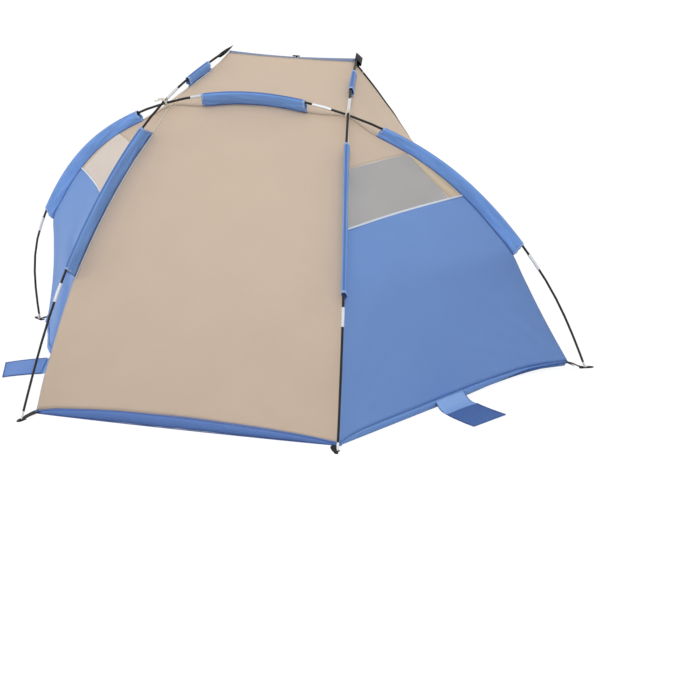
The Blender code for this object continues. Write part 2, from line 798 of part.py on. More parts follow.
def keyhole(centre, way, root, clear_radius):
    """Two rings in one section: the outer one runs round the pole and down a fin to the seam."""
    count = TUBE_SIDES
    bore = clear_radius / math.cos(math.pi / (count - 1))
    radius = bore + SLEEVE_WALL
    fin = root - centre
    fin -= way * np.dot(fin, way)
    reach = np.linalg.norm(fin) - FIN_ROOT
    fin = unit(fin)
    side = np.cross(way, fin)
    half = FIN_THICKNESS / 2
    neck = math.asin(half / radius)
    turns = [neck + (2 * math.pi - 2 * neck) * i / (count - 1) for i in range(count)]

    def ring(size, angles):
        return [centre + size * (math.cos(a) * fin + math.sin(a) * side) for a in angles]

    root_ends = [centre + reach * fin + end * half * side for end in (-1, 1)]
    return ring(radius, turns) + root_ends, ring(bore, [*turns, -neck / 2, neck / 2])


def sleeve(name, path, seam, start, end, bore, material="sleeve_blue", blind=0.0):
    """A fabric channel round the pole, with its fin sewn to the seam; blind shuts its far end."""
    outer, inner = [], []
    for where in path.stations(start, end, SLEEVE_END_CLEAR):
        i, share = path.index(where)
        root = seam[i] * (1 - share) + seam[i + 1] * share
        ring, hole = keyhole(path.point(where), path.tangent(where), root, bore)
        outer.append(ring)
        inner.append(hole)
    if blind:
        ahead = path.tangent(end - SEAM_GAP) * blind
        outer.append([point + ahead for point in outer[-1]])
    place(name, lofted_mesh(name, outer, inner, bool(blind)), material)


# Ties, webbing, sand pockets and toggle


def cross_tie(name, rear_path, arch_path, arch_place):
    """A loop of cord lashed round both poles where they cross."""
    top, low = rear_path.points[LOWER_STATIONS], arch_path.point(arch_place)
    rear_way, arch_way = rear_path.tangent(rear_path.places[LOWER_STATIONS]), arch_path.tangent(arch_place)
    if np.dot(rear_way, arch_way) > 0:
        arch_way = -arch_way
    across = unit(rear_way + arch_way)
    up = unit(top - low)
    slant = math.sin(math.acos(np.dot(rear_way, arch_way)) / 2)
    room = TIE_RADIUS + TIE_CLEARANCE
    half_width = POLE_RADIUS / slant + room
    half_height = np.linalg.norm(top - low) / 2 + POLE_RADIUS + room
    centre = (top + low) / 2
    points = []
    for i in range(TIE_SIDES):
        turn = 2 * math.pi * (i + 0.5) / TIE_SIDES
        squared = max(abs(math.cos(turn)), abs(math.sin(turn))) ** TIE_SQUARENESS
        sideways = across * half_width * math.cos(turn) / squared
        points.append(centre + sideways + up * half_height * math.sin(turn) / squared)
    curve = tube_curve(name, points, TIE_RADIUS)
    curve.twist_mode = "MINIMUM"
    curve.splines[0].use_cyclic_u = True
    place(name, curve, "tie_cream")


def corner_strap(name, corner, foot, tail, clearance):
    """Webbing that lies on the ground from a floor corner past the pole's foot, with its eyelet."""
    flat = np.array([1.0, 1.0, 0.0])
    corner, foot = corner * flat, foot * flat
    way = unit(foot - corner)
    length = np.linalg.norm(foot - corner)
    curve = bpy.data.curves.new(name, "CURVE")
    curve.dimensions = "2D"
    curve.fill_mode = "BOTH"
    curve.extrude = STRAP_THICKNESS / 2
    half = STRAP_WIDTH / 2
    near, far = clearance - length, tail
    outline = [
        (near, -half),
        (far - STRAP_ROUNDING, -half),
        (far, -half + STRAP_ROUNDING),
        (far, half - STRAP_ROUNDING),
        (far - STRAP_ROUNDING, half),
        (near, half),
    ]
    turns = [2 * math.pi * i / EYELET_SIDES for i in range(EYELET_SIDES)]
    eyelet = [(EYELET_RADIUS * math.cos(a), EYELET_RADIUS * math.sin(a)) for a in turns]
    for points in (outline, eyelet):
        spline = curve.splines.new("POLY")
        spline.use_cyclic_u = True
        spline.points.add(len(points) - 1)
        for target, (x, y) in zip(spline.points, points):
            target.co = (x, y, 0.0, 1.0)
    item = place(name, curve, "webbing_black")
    item.location = (*foot[:2], STRAP_THICKNESS / 2)
    item.rotation_euler.z = math.atan2(way[1], way[0])


def sand_pocket(name, side, ground):
    """A flap sewn to the side's foot, which drops to the ground and carries a flat sand pocket."""
    edge = Path(ground)
    hem = [edge.point(edge.length * share) for share in FLAP_HEM_SHARES]
    forward = unit((hem[1] - hem[0]) * np.array([1.0, 1.0, 0.0]))
    outward = np.cross(forward, (0.0, 0.0, 1.0))
    outward *= np.sign(outward[0] * side)
    hem = [point + outward * (PANEL_THICKNESS + FIT_GAP) for point in hem]
    outs, backs = (LEFT_FLAP_OUT, LEFT_FLAP_BACK) if side < 0 else (RIGHT_FLAP_OUT, RIGHT_FLAP_BACK)
    end = [point + outward * out - forward * back for point, out, back in zip(hem, outs, backs)]
    loops = []
    for i in range(FLAP_STATIONS + 1):
        share = (i / FLAP_STATIONS) ** FLAP_SPACING_POWER
        fall = max(0.0, 1 - share / FLAP_DROP_SHARE) ** FLAP_FALL_POWER
        thick = FLAP_THICKNESS if share < FLAP_MOUTH_SHARE else FLAP_POCKET_THICKNESS
        loop = []
        for start, finish, lift in ((0, 0, 0), (1, 1, 0), (1, 1, 1), (0, 0, 1)):
            point = hem[start] * (1 - share) + end[finish] * share
            low = (hem[start][2] - FLAP_THICKNESS / 2) * fall
            loop.append(np.array([point[0], point[1], low + lift * thick]))
        loops.append(loop)
    mesh = solid_loft(name, loops)
    item = place(name, mesh, "blue_polyester")
    set_origin(item, (hem[0] + hem[1]) / 2 + outward * FLAP_AXIS_OFFSET)


def solid_loft(name, loops):
    """A closed solid through a run of rings."""
    count = len(loops[0])
    points = [tuple(point) for loop in loops for point in loop]
    faces = []
    for i in range(len(loops) - 1):
        for j in range(count):
            a, b = i * count + j, i * count + (j + 1) % count
            faces.append((a, b, b + count, a + count))
    last = (len(loops) - 1) * count
    faces.append(tuple(reversed(range(count))))
    faces.append(tuple(last + j for j in range(count)))
    mesh = bpy.data.meshes.new(name)
    mesh.from_pydata(points, [], faces)
    face_outward(mesh)
    return mesh


def set_origin(item, origin):
    """Move an object's origin to a world point and leave its shape where it is."""
    for vertex in item.data.vertices:
        vertex.co -= Vector(origin)
    item.location = Vector(origin)


def eave_toggle(hem_edge):
    """A bar on a short tab that hinges at the middle of the eave hem and lies on top of it."""
    edge = Path(hem_edge)
    middle = edge.point(edge.length / 2 + TOGGLE_PLACE)
    pivot = middle + np.array([0.0, -TOGGLE_GAP - LOOP_THICKNESS / 2, LOOP_THICKNESS / 2])
    height = PANEL_THICKNESS + TOGGLE_GAP + TOGGLE_RADIUS
    back = LOOP_THICKNESS + HEM_WIDTH / 2
    bar_centre = pivot + np.array([0.0, back, height - LOOP_THICKNESS / 2])
    loops = []
    for end in (-1, 1):
        ring = []
        for i in range(TOGGLE_SIDES):
            turn = 2 * math.pi * i / TOGGLE_SIDES
            round_point = np.array([0.0, math.cos(turn), math.sin(turn)]) * TOGGLE_RADIUS
            ring.append(bar_centre + round_point + np.array([end * TOGGLE_LENGTH / 2, 0.0, 0.0]))
        loops.append(ring)
    bar = solid_loft("eave_toggle", loops)
    item = place("eave_toggle", bar, "webbing_black")
    tab_low = pivot + np.array([0.0, 0.0, -LOOP_THICKNESS / 2])
    profile = [
        tab_low + np.array([0.0, -LOOP_THICKNESS / 2, 0.0]),
        tab_low + np.array([0.0, LOOP_THICKNESS / 2, 0.0]),
        tab_low + np.array([0.0, LOOP_THICKNESS / 2, height - LOOP_THICKNESS]),
        bar_centre + np.array([0.0, -TOGGLE_RADIUS / 2, -TOGGLE_RADIUS / 2]),
        bar_centre + np.array([0.0, -TOGGLE_RADIUS / 2, TOGGLE_RADIUS / 2]),
        tab_low + np.array([0.0, -LOOP_THICKNESS / 2, height]),
    ]
    sides = [
        [point + np.array([end * LOOP_WIDTH / 2, 0.0, 0.0]) for point in profile] for end in (-1, 1)
    ]
    tab = bpy.data.objects.new("toggle_tab", solid_loft("toggle_tab", sides))
    CUTTERS.objects.link(tab)
    tab.hide_render = True
    tab.display_type = "WIRE"
    joined = item.modifiers.new("tab", "BOOLEAN")
    joined.operation = "UNION"
    joined.solver = "EXACT"
    joined.object = tab
    set_origin(item, pivot)
    set_origin(tab, pivot)


def build():
    """The whole tent."""
    paths = {side: rear_pole_path(side) for side in (-1, 1)}
    crossing = paths[-1].points[LOWER_STATIONS]
    arch = arch_pole_path(crossing, paths[-1].tangent(rear_places(paths[-1])["crossing"]))
    arch_crossing = arch_places(arch)["crossing"]
    arch_crossings = {-1: arch_crossing, 1: arch.length - arch_crossing}
    nodes = {side: arch.point(arch_crossings[side]) + offset(NODE_DROP, side) for side in (-1, 1)}
    over_arch = arch_seam(arch, nodes)
    grounds = {side: side_curve(side) for side in (-1, 1)}
    names = {-1: "left", 1: "right"}
    rear_seams = {}
    for side, name in names.items():
        path = paths[side]
        seam = rear_seam(path, nodes[side], side)
        pole_sections(name, path, rear_places(path)["joints"], (2,), 1)
        foot_pin(f"rear_{name}_foot_pin", path)
        build_sleeves(name, path, seam)
        lower, upper = seam[: LOWER_STATIONS + 1], seam[LOWER_STATIONS:]
        half = over_arch if side < 0 else over_arch[::-1]
        side_seam = half[: ARCH_SIDE_STATIONS + 1]
        side_panels(name, side, lower, side_seam, grounds[side])
        wing_panel(name, side_seam, upper, front_edge(side, seam[-1]))
        rear_seams[side] = (lower, upper)
        cross_tie(f"{name}_cross_tie", path, arch, arch_crossings[side])
        rear_strap = f"rear_{name}_corner_strap"
        corner_strap(rear_strap, seam[0], path.points[0], REAR_STRAP_TAIL, REAR_STRAP_CLEARANCE)
        root = at(side * FRONT_CORNER_HALF, FRONT_CORNER_REACH, 0.0)
        foot = arch.points[0] if side < 0 else arch.points[-1]
        corner_strap(f"front_{name}_corner_strap", root, foot, FRONT_STRAP_TAIL, FRONT_STRAP_CLEARANCE)
        sand_pocket(f"{name}_sand_pocket", side, grounds[side])
    build_arch(arch, over_arch)
    build_middle(over_arch, rear_seams)
    floor_sheet(grounds)


def build_sleeves(name, path, seam):
    """The three fabric channels on a rear pole."""
    places = rear_places(path)
    sleeve(f"{name}_rear_sleeve", path, seam, *places["sleeve"], WIDE_SLEEVE_BORE)
    sleeve(f"{name}_eave_sleeve", path, seam, *places["eave_sleeve"], PLAIN_SLEEVE_BORE)
    start, end = path.length - POCKET_DEPTH, path.length + FIT_GAP
    pocket = f"{name}_eave_pocket"
    side = np.sign(path.points[0][0])
    fin = [point + offset(POCKET_DROP, side) for point in path.points]
    sleeve(pocket, path, fin, start, end, PLAIN_SLEEVE_BORE, "webbing_black", POCKET_CAP)


def build_arch(arch, seam):
    """The arch pole with its feet, its two side sleeves and its top sleeve."""
    places = arch_places(arch)
    pole_sections("arch", arch, places["joints"], (2, 5), 2)
    backward = Path([point for point in reversed(arch.points)])
    foot_pin("front_left_foot_pin", arch)
    foot_pin("front_right_foot_pin", backward)
    start, end = places["sleeve"]
    spans = {
        "left_arch_sleeve": (start, end),
        "arch_top_sleeve": places["top_sleeve"],
        "right_arch_sleeve": (arch.length - end, arch.length - start),
    }
    for name, (start, end) in spans.items():
        sleeve(name, arch, seam, start, end, WIDE_SLEEVE_BORE)


def build_middle(over_arch, rear_seams):
    """Rear panel, roof panel and the eave with its hem and toggle."""
    top = over_arch[ARCH_SIDE_STATIONS : len(over_arch) - ARCH_SIDE_STATIONS]
    left_lower, left_upper = rear_seams[-1]
    right_lower, right_upper = rear_seams[1]
    columns = shares_of(top)
    bottom = [left_lower[0] * (1 - u) + right_lower[0] * u for u in columns]
    rear = patch(bottom, top, left_lower, right_lower, shares_of(left_lower), columns)
    panel("rear_panel", tucked(rear, SEAM_GAP), "tan_polyester")
    hem_line = eave_curve(left_upper[-1], right_upper[-1], 0.0)
    roof = patch(top, hem_line, left_upper, right_upper, shares_of(left_upper), columns)
    panel("roof_panel", tucked(roof, SEAM_GAP), "tan_polyester")
    hem_edge = eave_curve(left_upper[-1], right_upper[-1], HEM_WIDTH)
    ends = [[hem_line[i], hem_edge[i]] for i in (0, -1)]
    hem = patch(hem_line, hem_edge, *ends, even(1), columns)
    panel("eave_hem", tucked(hem, SEAM_GAP), "blue_polyester")
    eave_toggle(hem_edge)


clear_scene()
TENT = bpy.data.collections.new("beach_tent")
CUTTERS = bpy.data.collections.new("cutters")
bpy.context.scene.collection.children.link(TENT)
bpy.context.scene.collection.children.link(CUTTERS)
MATERIALS = {name: make_material(name) for name in COLOURS}
build()
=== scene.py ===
"""Looks of the beach tent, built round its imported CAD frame.

Metres, +Z up. The open front faces -Y, the rear panel faces +Y, the ground is Z = 0, left is -X.
The fabric is drawn from the same named values as the CAD source, on smooth curves and finer grids.
Tables hold (share of a length, value) pairs, and side values hold left as -1 and right as 1.
"""

import bisect
import math

import bpy
import numpy as np
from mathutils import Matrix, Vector, noise


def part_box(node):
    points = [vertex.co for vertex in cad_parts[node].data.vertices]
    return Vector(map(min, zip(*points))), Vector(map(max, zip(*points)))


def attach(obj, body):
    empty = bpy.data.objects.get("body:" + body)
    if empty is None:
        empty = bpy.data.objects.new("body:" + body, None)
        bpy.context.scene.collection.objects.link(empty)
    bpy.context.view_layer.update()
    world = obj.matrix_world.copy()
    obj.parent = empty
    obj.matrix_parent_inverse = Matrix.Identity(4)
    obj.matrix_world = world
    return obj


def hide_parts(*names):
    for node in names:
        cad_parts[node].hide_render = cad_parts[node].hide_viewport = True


# The pole frame, the seams and the panels, as in the CAD source
FRONT_SPAN = 2.000
REAR_SPAN = 1.064
EAVE_SPAN = 0.464
POLE_DEPTH = 1.190
EAVE_SETBACK = 0.130
EAVE_HEIGHT = 1.029
ARCH_DIP = 0.067
ARCH_TOP_BACK = 0.0329
REAR_POLE_SHARES = (
    *((0, 0, 0), (0.150, 0.168, 0.340), (0.394, 0.391, 0.647)),
    *((0.711, 0.681, 0.888), (1, 1, 1)),
)
CROSSING_KNOT = 3
ARCH_FOOT_SHARES = ((1, 0, 0), (0.914, 0.388, 0.351), (0.839, 0.517, 0.499), (0.613, 0.753, 0.776))
POLE_RADIUS = 0.0040
FERRULE_LENGTH = 0.064
REAR_FIRST_JOINT = 0.2715
TOP_FERRULE_GAP = 0.0121
ARCH_FIRST_JOINT = 0.1504
CROSSING_GAP = 0.0005
LOWER_STATIONS = 14
UPPER_STATIONS = 6
ARCH_SIDE_STATIONS = 16
ARCH_TOP_STATIONS = 4
REAR_SEAM_DROP = (0.0075, 0.0390, 0.0400)
NODE_DROP = (0.007, 0.026, 0.014)
EAVE_SEAM_DROP = (0.0010, 0.0090, 0.0280)
EAVE_CORNER_DROP = (0.0100, 0.0030, 0.0120)
ARCH_SEAM_DROP = (0.0260, -0.0110, 0.0320)
ARCH_SEAM_END_DROP = (0.0200, -0.0050, 0.0250)
ARCH_TOP_DROP = (0.0000, 0.0280, 0.0400)
SEAM_SAG = 0.006
REAR_SLEEVE_GAP = 0.0467
REAR_SLEEVE_TAIL = 0.1275
EAVE_SLEEVE_GAP = 0.0604
EAVE_SLEEVE_TAIL = 0.1058
ARCH_SLEEVE_GAP = 0.0410
ARCH_SLEEVE_TAIL = 0.1227
TOP_SLEEVE_HALF = 0.180
POCKET_DROP = (-0.0190, 0.0020, 0.0200)
POCKET_DEPTH = 0.020
POCKET_CAP = 0.040
REAR_CORNER_INSET = 0.012
REAR_CORNER_REACH = 0.086
FRONT_CORNER_INSET = 0.055
FRONT_CORNER_SETBACK = 0.025
STRIP_HEIGHT = 0.022
STRIP_FRONT_HEIGHT = 0.026
CORNER_LIFT = 0.017
CORNER_LIFT_POWER = 8
SIDE_EDGE_SHARES = ((0, 0), (0.454, 0.350), (0.637, 0.495), (0.798, 0.640), (0.926, 0.815), (1, 1))
FRONT_EDGE_SHARES = (0.17, 0.30, 0.42, 0.62)
FRONT_EDGE_BACK = (0.020, 0.165, 0.178, 0.110)
FRONT_EDGE_OUT = (0.014, 0.045, 0.062, 0.060)
EAVE_BOW = 0.026
HEM_WIDTH = 0.012
WINDOW_REAR_SHARES = (0.609, 0.812)
WINDOW_ARCH_SHARES = (0.623, 0.810)
WINDOW_BOWS = (0.014, 0.009)
STRAP_WIDTH = 0.025
REAR_STRAP_TAIL = 0.024
FRONT_STRAP_TAIL = 0.030
FLAP_OUT = {-1: (0.2233, 0.2309), 1: (0.1644, 0.1770)}
FLAP_BACK = {-1: (0.1060, 0.0972), 1: (0.0559, 0.0752)}
FLAP_DROP_SHARE = 0.25
FLAP_FALL_POWER = 2
TOGGLE_PLACE = -0.021
TOGGLE_LENGTH = 0.026
TOGGLE_RADIUS = 0.0030

EAVE_REACH = POLE_DEPTH - EAVE_SETBACK
ARCH_HEIGHT = EAVE_HEIGHT - ARCH_DIP
REAR_CORNER_HALF = REAR_SPAN / 2 - REAR_CORNER_INSET
FRONT_CORNER_HALF = FRONT_SPAN / 2 - FRONT_CORNER_INSET
FRONT_CORNER_REACH = POLE_DEPTH - FRONT_CORNER_SETBACK
REAR_LINE = 0.593597

# Sides, ways and the points that faces look away from
SIDES = {-1: "left", 1: "right"}
MIRROR = np.array([-1.0, 1.0, 1.0])
FLAT = np.array([1.0, 1.0, 0.0])
BACK = np.array([0.0, 1.0, 0.0])
UP = np.array([0.0, 0.0, 1.0])
INSIDE = np.array([0.0, -0.02, 0.34])
BELOW = np.array([0.0, 0.0, -3.0])

# Finer grids and cloth
CELL = 0.013
CLOTH = 0.0006
TAPE_LIFT = 0.0008
TINY = 1e-9
CURVE_STEPS = 48
EDGE_STEPS = 90
SIDE_STEPS = 96
CUT_STEPS = 64
PROBE = 0.001
TUBE_SIDES = 8
THICK_TUBE_SIDES = 10
BAR_SIDES = 16
ROUND_END_PLACES = (0.0, 0.6, 0.9, 1.0)
ROUND_END_SIZES = (1.0, 0.8, 0.45, 0.02)
FULL_TURN = 2 * math.pi
RING_STEPS = 28

# Where the photo shows the cloth off its plain lines: the floor's corners drawn to the feet,
# the right side's lower edge bulged out, the rear seams eased aside
REAR_CORNER_MOVES = {-1: (0.006, 0.020, -0.017), 1: (-0.002, -0.004, -0.011)}
REAR_CORNER_FADE = 0.16
EDGE_CORNER_FADE = 0.12
FRONT_CORNER_MOVES = {-1: (0.0, 0.0, 0.0), 1: (0.012, 0.0, 0.0)}
FRONT_CORNER_FADE = 0.35
RIGHT_EDGE_BULGE = (
    *((0.0, 0.0), (0.573, 0.0), (0.585, 0.022), (0.600, 0.038), (0.64, 0.051)),
    *((0.70, 0.057), (0.80, 0.062), (0.90, 0.052), (1.0, 0.0)),
)
REAR_SEAM_WAY = (0.946, 0.3245, 0.0)
REAR_SEAM_EASE = {
    -1: (
        *((0.0, 0.0), (0.05, 0.0060), (0.137, 0.0112), (0.21, 0.0115), (0.284, 0.0092)),
        *((0.342, 0.0072), (0.395, 0.0046), (0.46, 0.0), (1.0, 0.0)),
    ),
    1: (
        *((0.0, 0.0), (0.06, -0.0010), (0.11, -0.0034), (0.145, -0.0058), (0.19, -0.0068)),
        *((0.26, -0.0066), (0.32, -0.0056), (0.37, -0.0024), (0.42, 0.0), (1.0, 0.0)),
    ),
}
WING_EDGE_WAY = (0.82, -0.57)
WING_EDGE_EASE = (
    *((0.0, 0.0), (0.13, 0.0), (0.20, -0.009), (0.26, -0.021)),
    *((0.36, -0.018), (0.6, 0.0), (1.0, 0.0)),
)
ROOF_RISE = ((0.0, 0.001), (0.45, 0.0072), (1.0, 0.007))
HEM_RISE = ((0.0, 0.0095), (0.22, 0.0085), (0.48, 0.0078), (0.8, 0.009), (1.0, 0.011))

# Panels: how far they hang in, their folds (depth, count, reach) and their ripples
# (depth, size, seed, stretch upward)
REAR_HOLLOW = 0.006
ROOF_HOLLOW = 0.004
SIDE_HOLLOW = 0.008
WINDOW_HOLLOW = 0.003
REAR_PULL_SHARE = 0.45
REAR_FOLD = (0.0008, 16, 0.16)
SIDE_FRONT_FOLD = (0.0016, 20, 0.22)
SIDE_REAR_FOLD = (0.0016, 18, 0.20)
RIPPLES = {
    "rear": (0.0016, 0.16, 3.0, 0.4),
    "roof": (0.0012, 0.09, 7.0, 1.0),
    "side": (0.0025, 0.20, 11.0, 0.6),
    "wing": (0.0015, 0.12, 17.0, 1.0),
    "floor": (0.0012, 0.11, 23.0, 1.0),
    "roll": (0.0007, 0.05, 31.0, 3.0),
    "flap": (0.0005, 0.05, 41.0, 1.0),
    "strap": (0.0006, 0.02, 51.0, 1.0),
}
ROOF_ROWS = 22
ROOF_MORE_COLUMNS = 12
HEM_THICKNESS = 0.0009
HEM_UNDER_WIDTH = 0.003
GUSSET_KEEP = 0.98
WINDOW_HEM_WIDTH = 0.007
WINDOW_HEM_LIFT = 0.0020
FACING_WIDTHS = {-1: 0.052, 1: 0.018}
FACING_TAPER = ((0.0, 0.92), (0.3, 0.84), (0.6, 0.60), (0.85, 0.30), (1.0, 0.10))
WING_COLUMNS = 22
WING_KEEP = 0.992
WING_BINDING_RADIUS = 0.0044
WING_BINDING_SIZES = ((0.0, 1.0), (0.08, 0.95), (0.16, 0.75), (0.20, 0.40), (0.30, 0.15))
WING_BINDING_SHARE = 0.30
EAVE_RING_SHARE = 0.035
EAVE_RING_SHIFT = (0.003, 0.004, 0.0)
EAVE_RING_RADIUS = 0.0045
EAVE_RING_WIRE = 0.0013
FLOOR_CELLS = 60
FLOOR_INSET = 0.004
FLOOR_LIFT = 0.0015

# The floor's turned-up edge
REAR_RIM = (
    *((0.0, 0.005), (0.056, 0.018), (0.2, 0.030), (0.275, 0.034), (0.5, 0.036)),
    *((0.75, 0.027), (0.893, 0.017), (0.968, 0.009), (1.0, 0.005)),
)
RIM_SMOOTHINGS = 6
ROLL_COLUMNS = 13
INNER_ROLL_COLUMNS = 9
ROLL_GAP = 0.0006
ROLL_LEAST_HEIGHT = 0.002
ROLL_ROUNDING = 0.8
ROLL_DEPTH = 0.022
ROLL_FOOT = 0.0032
ROLL_SLUMP = 0.25
INNER_ROLL_OVERLAP = 0.006
INNER_ROLL_SETBACK = 0.0008
ROLL_LEAST_BULGE = 0.001
REAR_ROLL_BULGE = 0.011
SIDE_ROLL_BULGE = 0.007
RIGHT_ROLL_SHARES = ((0.0, 0.02), (0.42, 0.05), (0.55, 1.0), (0.95, 1.0), (1.0, 0.2))
EDGE_FOOT = ((0.0, 0.0), (0.6, 0.0), (0.75, 0.006), (0.875, 0.019), (1.0, 0.0235))
# Painted shade: a dark cord along the foot of the rear roll, where it turns under
SHADE_LINE_COLUMN = 6
SHADE_LINE_HEIGHT = 0.0018
SHADE_LINE_RADIUS = 0.0015

# Sleeves and seams
SLEEVE_RADIUS = 0.0070
SLEEVE_STEP = 0.008
SLEEVE_PUFF = 0.0022
SLEEVE_COLUMNS = 8
SLEEVE_ROUND_COLUMNS = 11
SLEEVE_TIGHTEST = 0.95
SLEEVE_MIDDLE = 0.3
REAR_SLEEVE_TOPS = {-1: (0.019, 0.018), 1: (0.014, 0.036)}
ARCH_SLEEVE_SLANTS = (-0.012, 0.012)
TOP_SLEEVE_SLANTS = (-0.010, 0.020)
RIDGE_DEPTH = 0.0085
RIDGE_LEAST = 0.20
RIDGE_FADE = 0.09
RIDGE_SLANT = 3.4
RIDGE_COUNT = 13.0
RIDGE_START = 7.0
RIDGE_SHARPNESS = 2.4
RIDGE_CHANGE = 3.0
RIDGE_FACE = 3.1
SLOW_DEPTH = 0.0024
SLOW_COUNT = 9
SLOW_FACE = 2.0
SLOW_ACROSS = 2.0
CUT_END_LIFT = 0.0007
# Painted shade: a darker strip over the sleeve's rounded outer edge
SHADED_EDGE_LIFT = 0.0004
SHADED_EDGE_COLUMNS = slice(11, 15)
SEAM_STEP = 0.012
SEAM_RADIUS = 0.0016
SEAM_END = 0.004
PALE_SEAM_RADIUS = 0.0020
PALE_SEAM_ASIDE = 0.0070
PALE_SEAM_OUT = (0.0, 0.0018, 0.0020)

# Pockets on the pole tips, straps, ties, sand pockets and toggle
POCKET_OVER = 0.002
POCKET_ROWS = 12
POCKET_COLUMNS = 24
POCKET_HALF = 0.0062
POCKET_HEIGHT = 0.0145
POCKET_MIDDLE = 0.009
POCKET_CLOSE = 0.85
POCKET_CLOSE_POWER = 1.5
POCKET_THICKNESS = 0.0010
STRAP_THICKNESS = 0.0012
STRAP_LEAST_HEIGHT = 0.0008
STRAP_STEPS = 46
STRAP_COLUMNS = 7
# Knots from the corner: way along, share of the strap, share of the corner's height, height;
# knots from the foot: way along, share of the tail, height
STRAP_CORNER_KNOTS = ((-0.006, 0.0, 1.0, -0.004), (0.0, 0.30, 0.62, 0.0), (0.0, 0.68, 0.0, 0.0058))
STRAP_FOOT_KNOTS = (
    *((-0.010, 0, 0.0040), (-0.006, 1, 0.0036), (-0.001, 1, 0.0024)),
    *((-0.006, 1, 0.0010), (-0.020, 0, 0.0010)),
)
STRAP_SWAY = (0.6, 0.9, 1.0, 0.8, 0.2, 0.0, 0.1, 0.3)
STRAP_END = 0.004
STRAP_FOOT_SHARE = 0.6
STRAP_END_ROUNDING = 0.96
REAR_SWAY = {-1: 0.015, 1: 0.0}
TAB_KNOTS = ((-0.010, 0.0, 0.9, 0.0), (0.008, 0.0, 0.6, 0.0), (0.024, 0.0, 0.0, 0.0072))
TAB_WIDTH = STRAP_WIDTH * 0.7
TAB_TIP_SHARE = 0.4
TAB_COLUMNS = 3
EYELET_HEIGHT = 0.0048
EYELET_RADIUS = 0.0062
EYELET_WIRE = 0.0014
TIE_ROOM = 0.0021
TIE_SHIFT = 0.0016
TIE_RADIUS = 0.0015
TIE_SQUARENESS = 0.75
TIE_STEPS = 36
KNOT_RISE = 0.0010
KNOT_DEPTH = 0.0020
KNOT_TOP = 0.0022
KNOT_RADIUS = 0.0032
TAIL_SHARES = (0.35, 0.7)
TAIL_RISE = 0.0016
TAIL_STEPS = 12
TAIL_RADIUS = 0.0023
TIE_TAILS = {-1: ((0.005, 0.002), (-0.005, 0.001)), 1: ((0.031, -0.0085), (0.018, 0.0005))}
FLAP_ROWS = 34
FLAP_COLUMNS = 15
FLAP_SETOUT = 0.0018
FLAP_SWEEP = 0.010
FLAP_LIFT = 0.0008
FLAP_SEAM_SHARES = {-1: (0.4385, 0.5741), 1: (0.405, 0.5741)}
MOUTH_SHARES = {-1: 0.36, 1: 0.25}
BAG_LIFT = 0.0016
BAG_PUFF = 0.0030
BAG_OPEN_SHARE = 0.25
FLAP_BINDING_WIDTH = 0.004
BAG_BINDING_LIFT = 0.0012
MOUTH_LIFT = 0.0008
TOGGLE_RISE = 0.007
TOGGLE_SHIFT = -0.004
TOGGLE_BAR_RADIUS = 0.0023
TOGGLE_END = 0.002
TOGGLE_END_SIZE = 0.25
TOGGLE_WAIST = 0.22
TOGGLE_WAIST_HALF = 0.004
TOGGLE_TAPE_WIDTH = 0.005
TOGGLE_TAPE_SHARE = 0.95
TOGGLE_LEAD = (0.0, -0.0006, 0.0004)
TOGGLE_STEPS = 32
TOGGLE_LEAD_STEPS = 8
TOGGLE_BAR_STEPS = 25
TAPE_COLUMNS = 4

# Colours, light and camera
TAN_COLOUR = (0.588, 0.440, 0.323)
# Painted light: the tan cloth's inner faces glow in these colours and strengths, in place of light coming
# through the cloth
INSIDE_GLOW_COLOUR = (0.600, 0.455, 0.335)
# Painted light: the right wing's inner face glows brighter and warmer than the other inner faces
WING_GLOW_COLOUR = (0.600, 0.480, 0.370)
INSIDE_GLOW_STRENGTH = 0.50
WING_GLOW_STRENGTH = 0.85
WEAVE_PITCH = 0.0007
TAPE_PITCH = 0.0012
WAVE_TURN = 20
TONE_STOPS = (0.3, 0.7)
FLOOR_SIZE = 30.0
STAGE_DROP = 0.0008
FLOOR_GREY = 0.60
FLOOR_WHITE = 0.90
FLOOR_SHADE = 0.16
# Painted shade: the floor's colour where it is seen through the net
PAINTED_SHADE_THROUGH_NET = (0.19, 0.18, 0.17)
SKY = (0.94, 0.97, 1.0)
WORLD_LIGHT = 0.88
CAMERA_PLACE = (-3.7075, 9.7322, 2.949)
CAMERA_WAY = (0.3132, -0.9130, -0.2617)
LENS = 169.08
SENSOR = 36.0

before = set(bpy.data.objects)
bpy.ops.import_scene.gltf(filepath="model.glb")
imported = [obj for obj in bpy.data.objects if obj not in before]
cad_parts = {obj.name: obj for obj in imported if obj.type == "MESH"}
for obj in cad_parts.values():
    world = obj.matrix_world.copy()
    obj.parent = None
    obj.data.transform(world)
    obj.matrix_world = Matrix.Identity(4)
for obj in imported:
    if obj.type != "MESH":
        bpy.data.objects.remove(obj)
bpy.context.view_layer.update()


# Curves


def at(x, reach, z):
    return np.array([x, REAR_LINE - reach, z])


def offset(drop, side):
    inward, forward, downward = drop
    return np.array([-side * inward, -forward, -downward])


def unit(vector):
    length = np.linalg.norm(vector)
    return vector / length if length else vector


def unit_rows(vectors):
    return vectors / np.maximum(np.linalg.norm(vectors, axis=-1, keepdims=True), TINY)


def hump(shares):
    """Half a sine wave: nothing at the ends, one in the middle."""
    return np.sin(math.pi * shares)


def looked_up(shares, table):
    return np.interp(shares, *zip(*table))


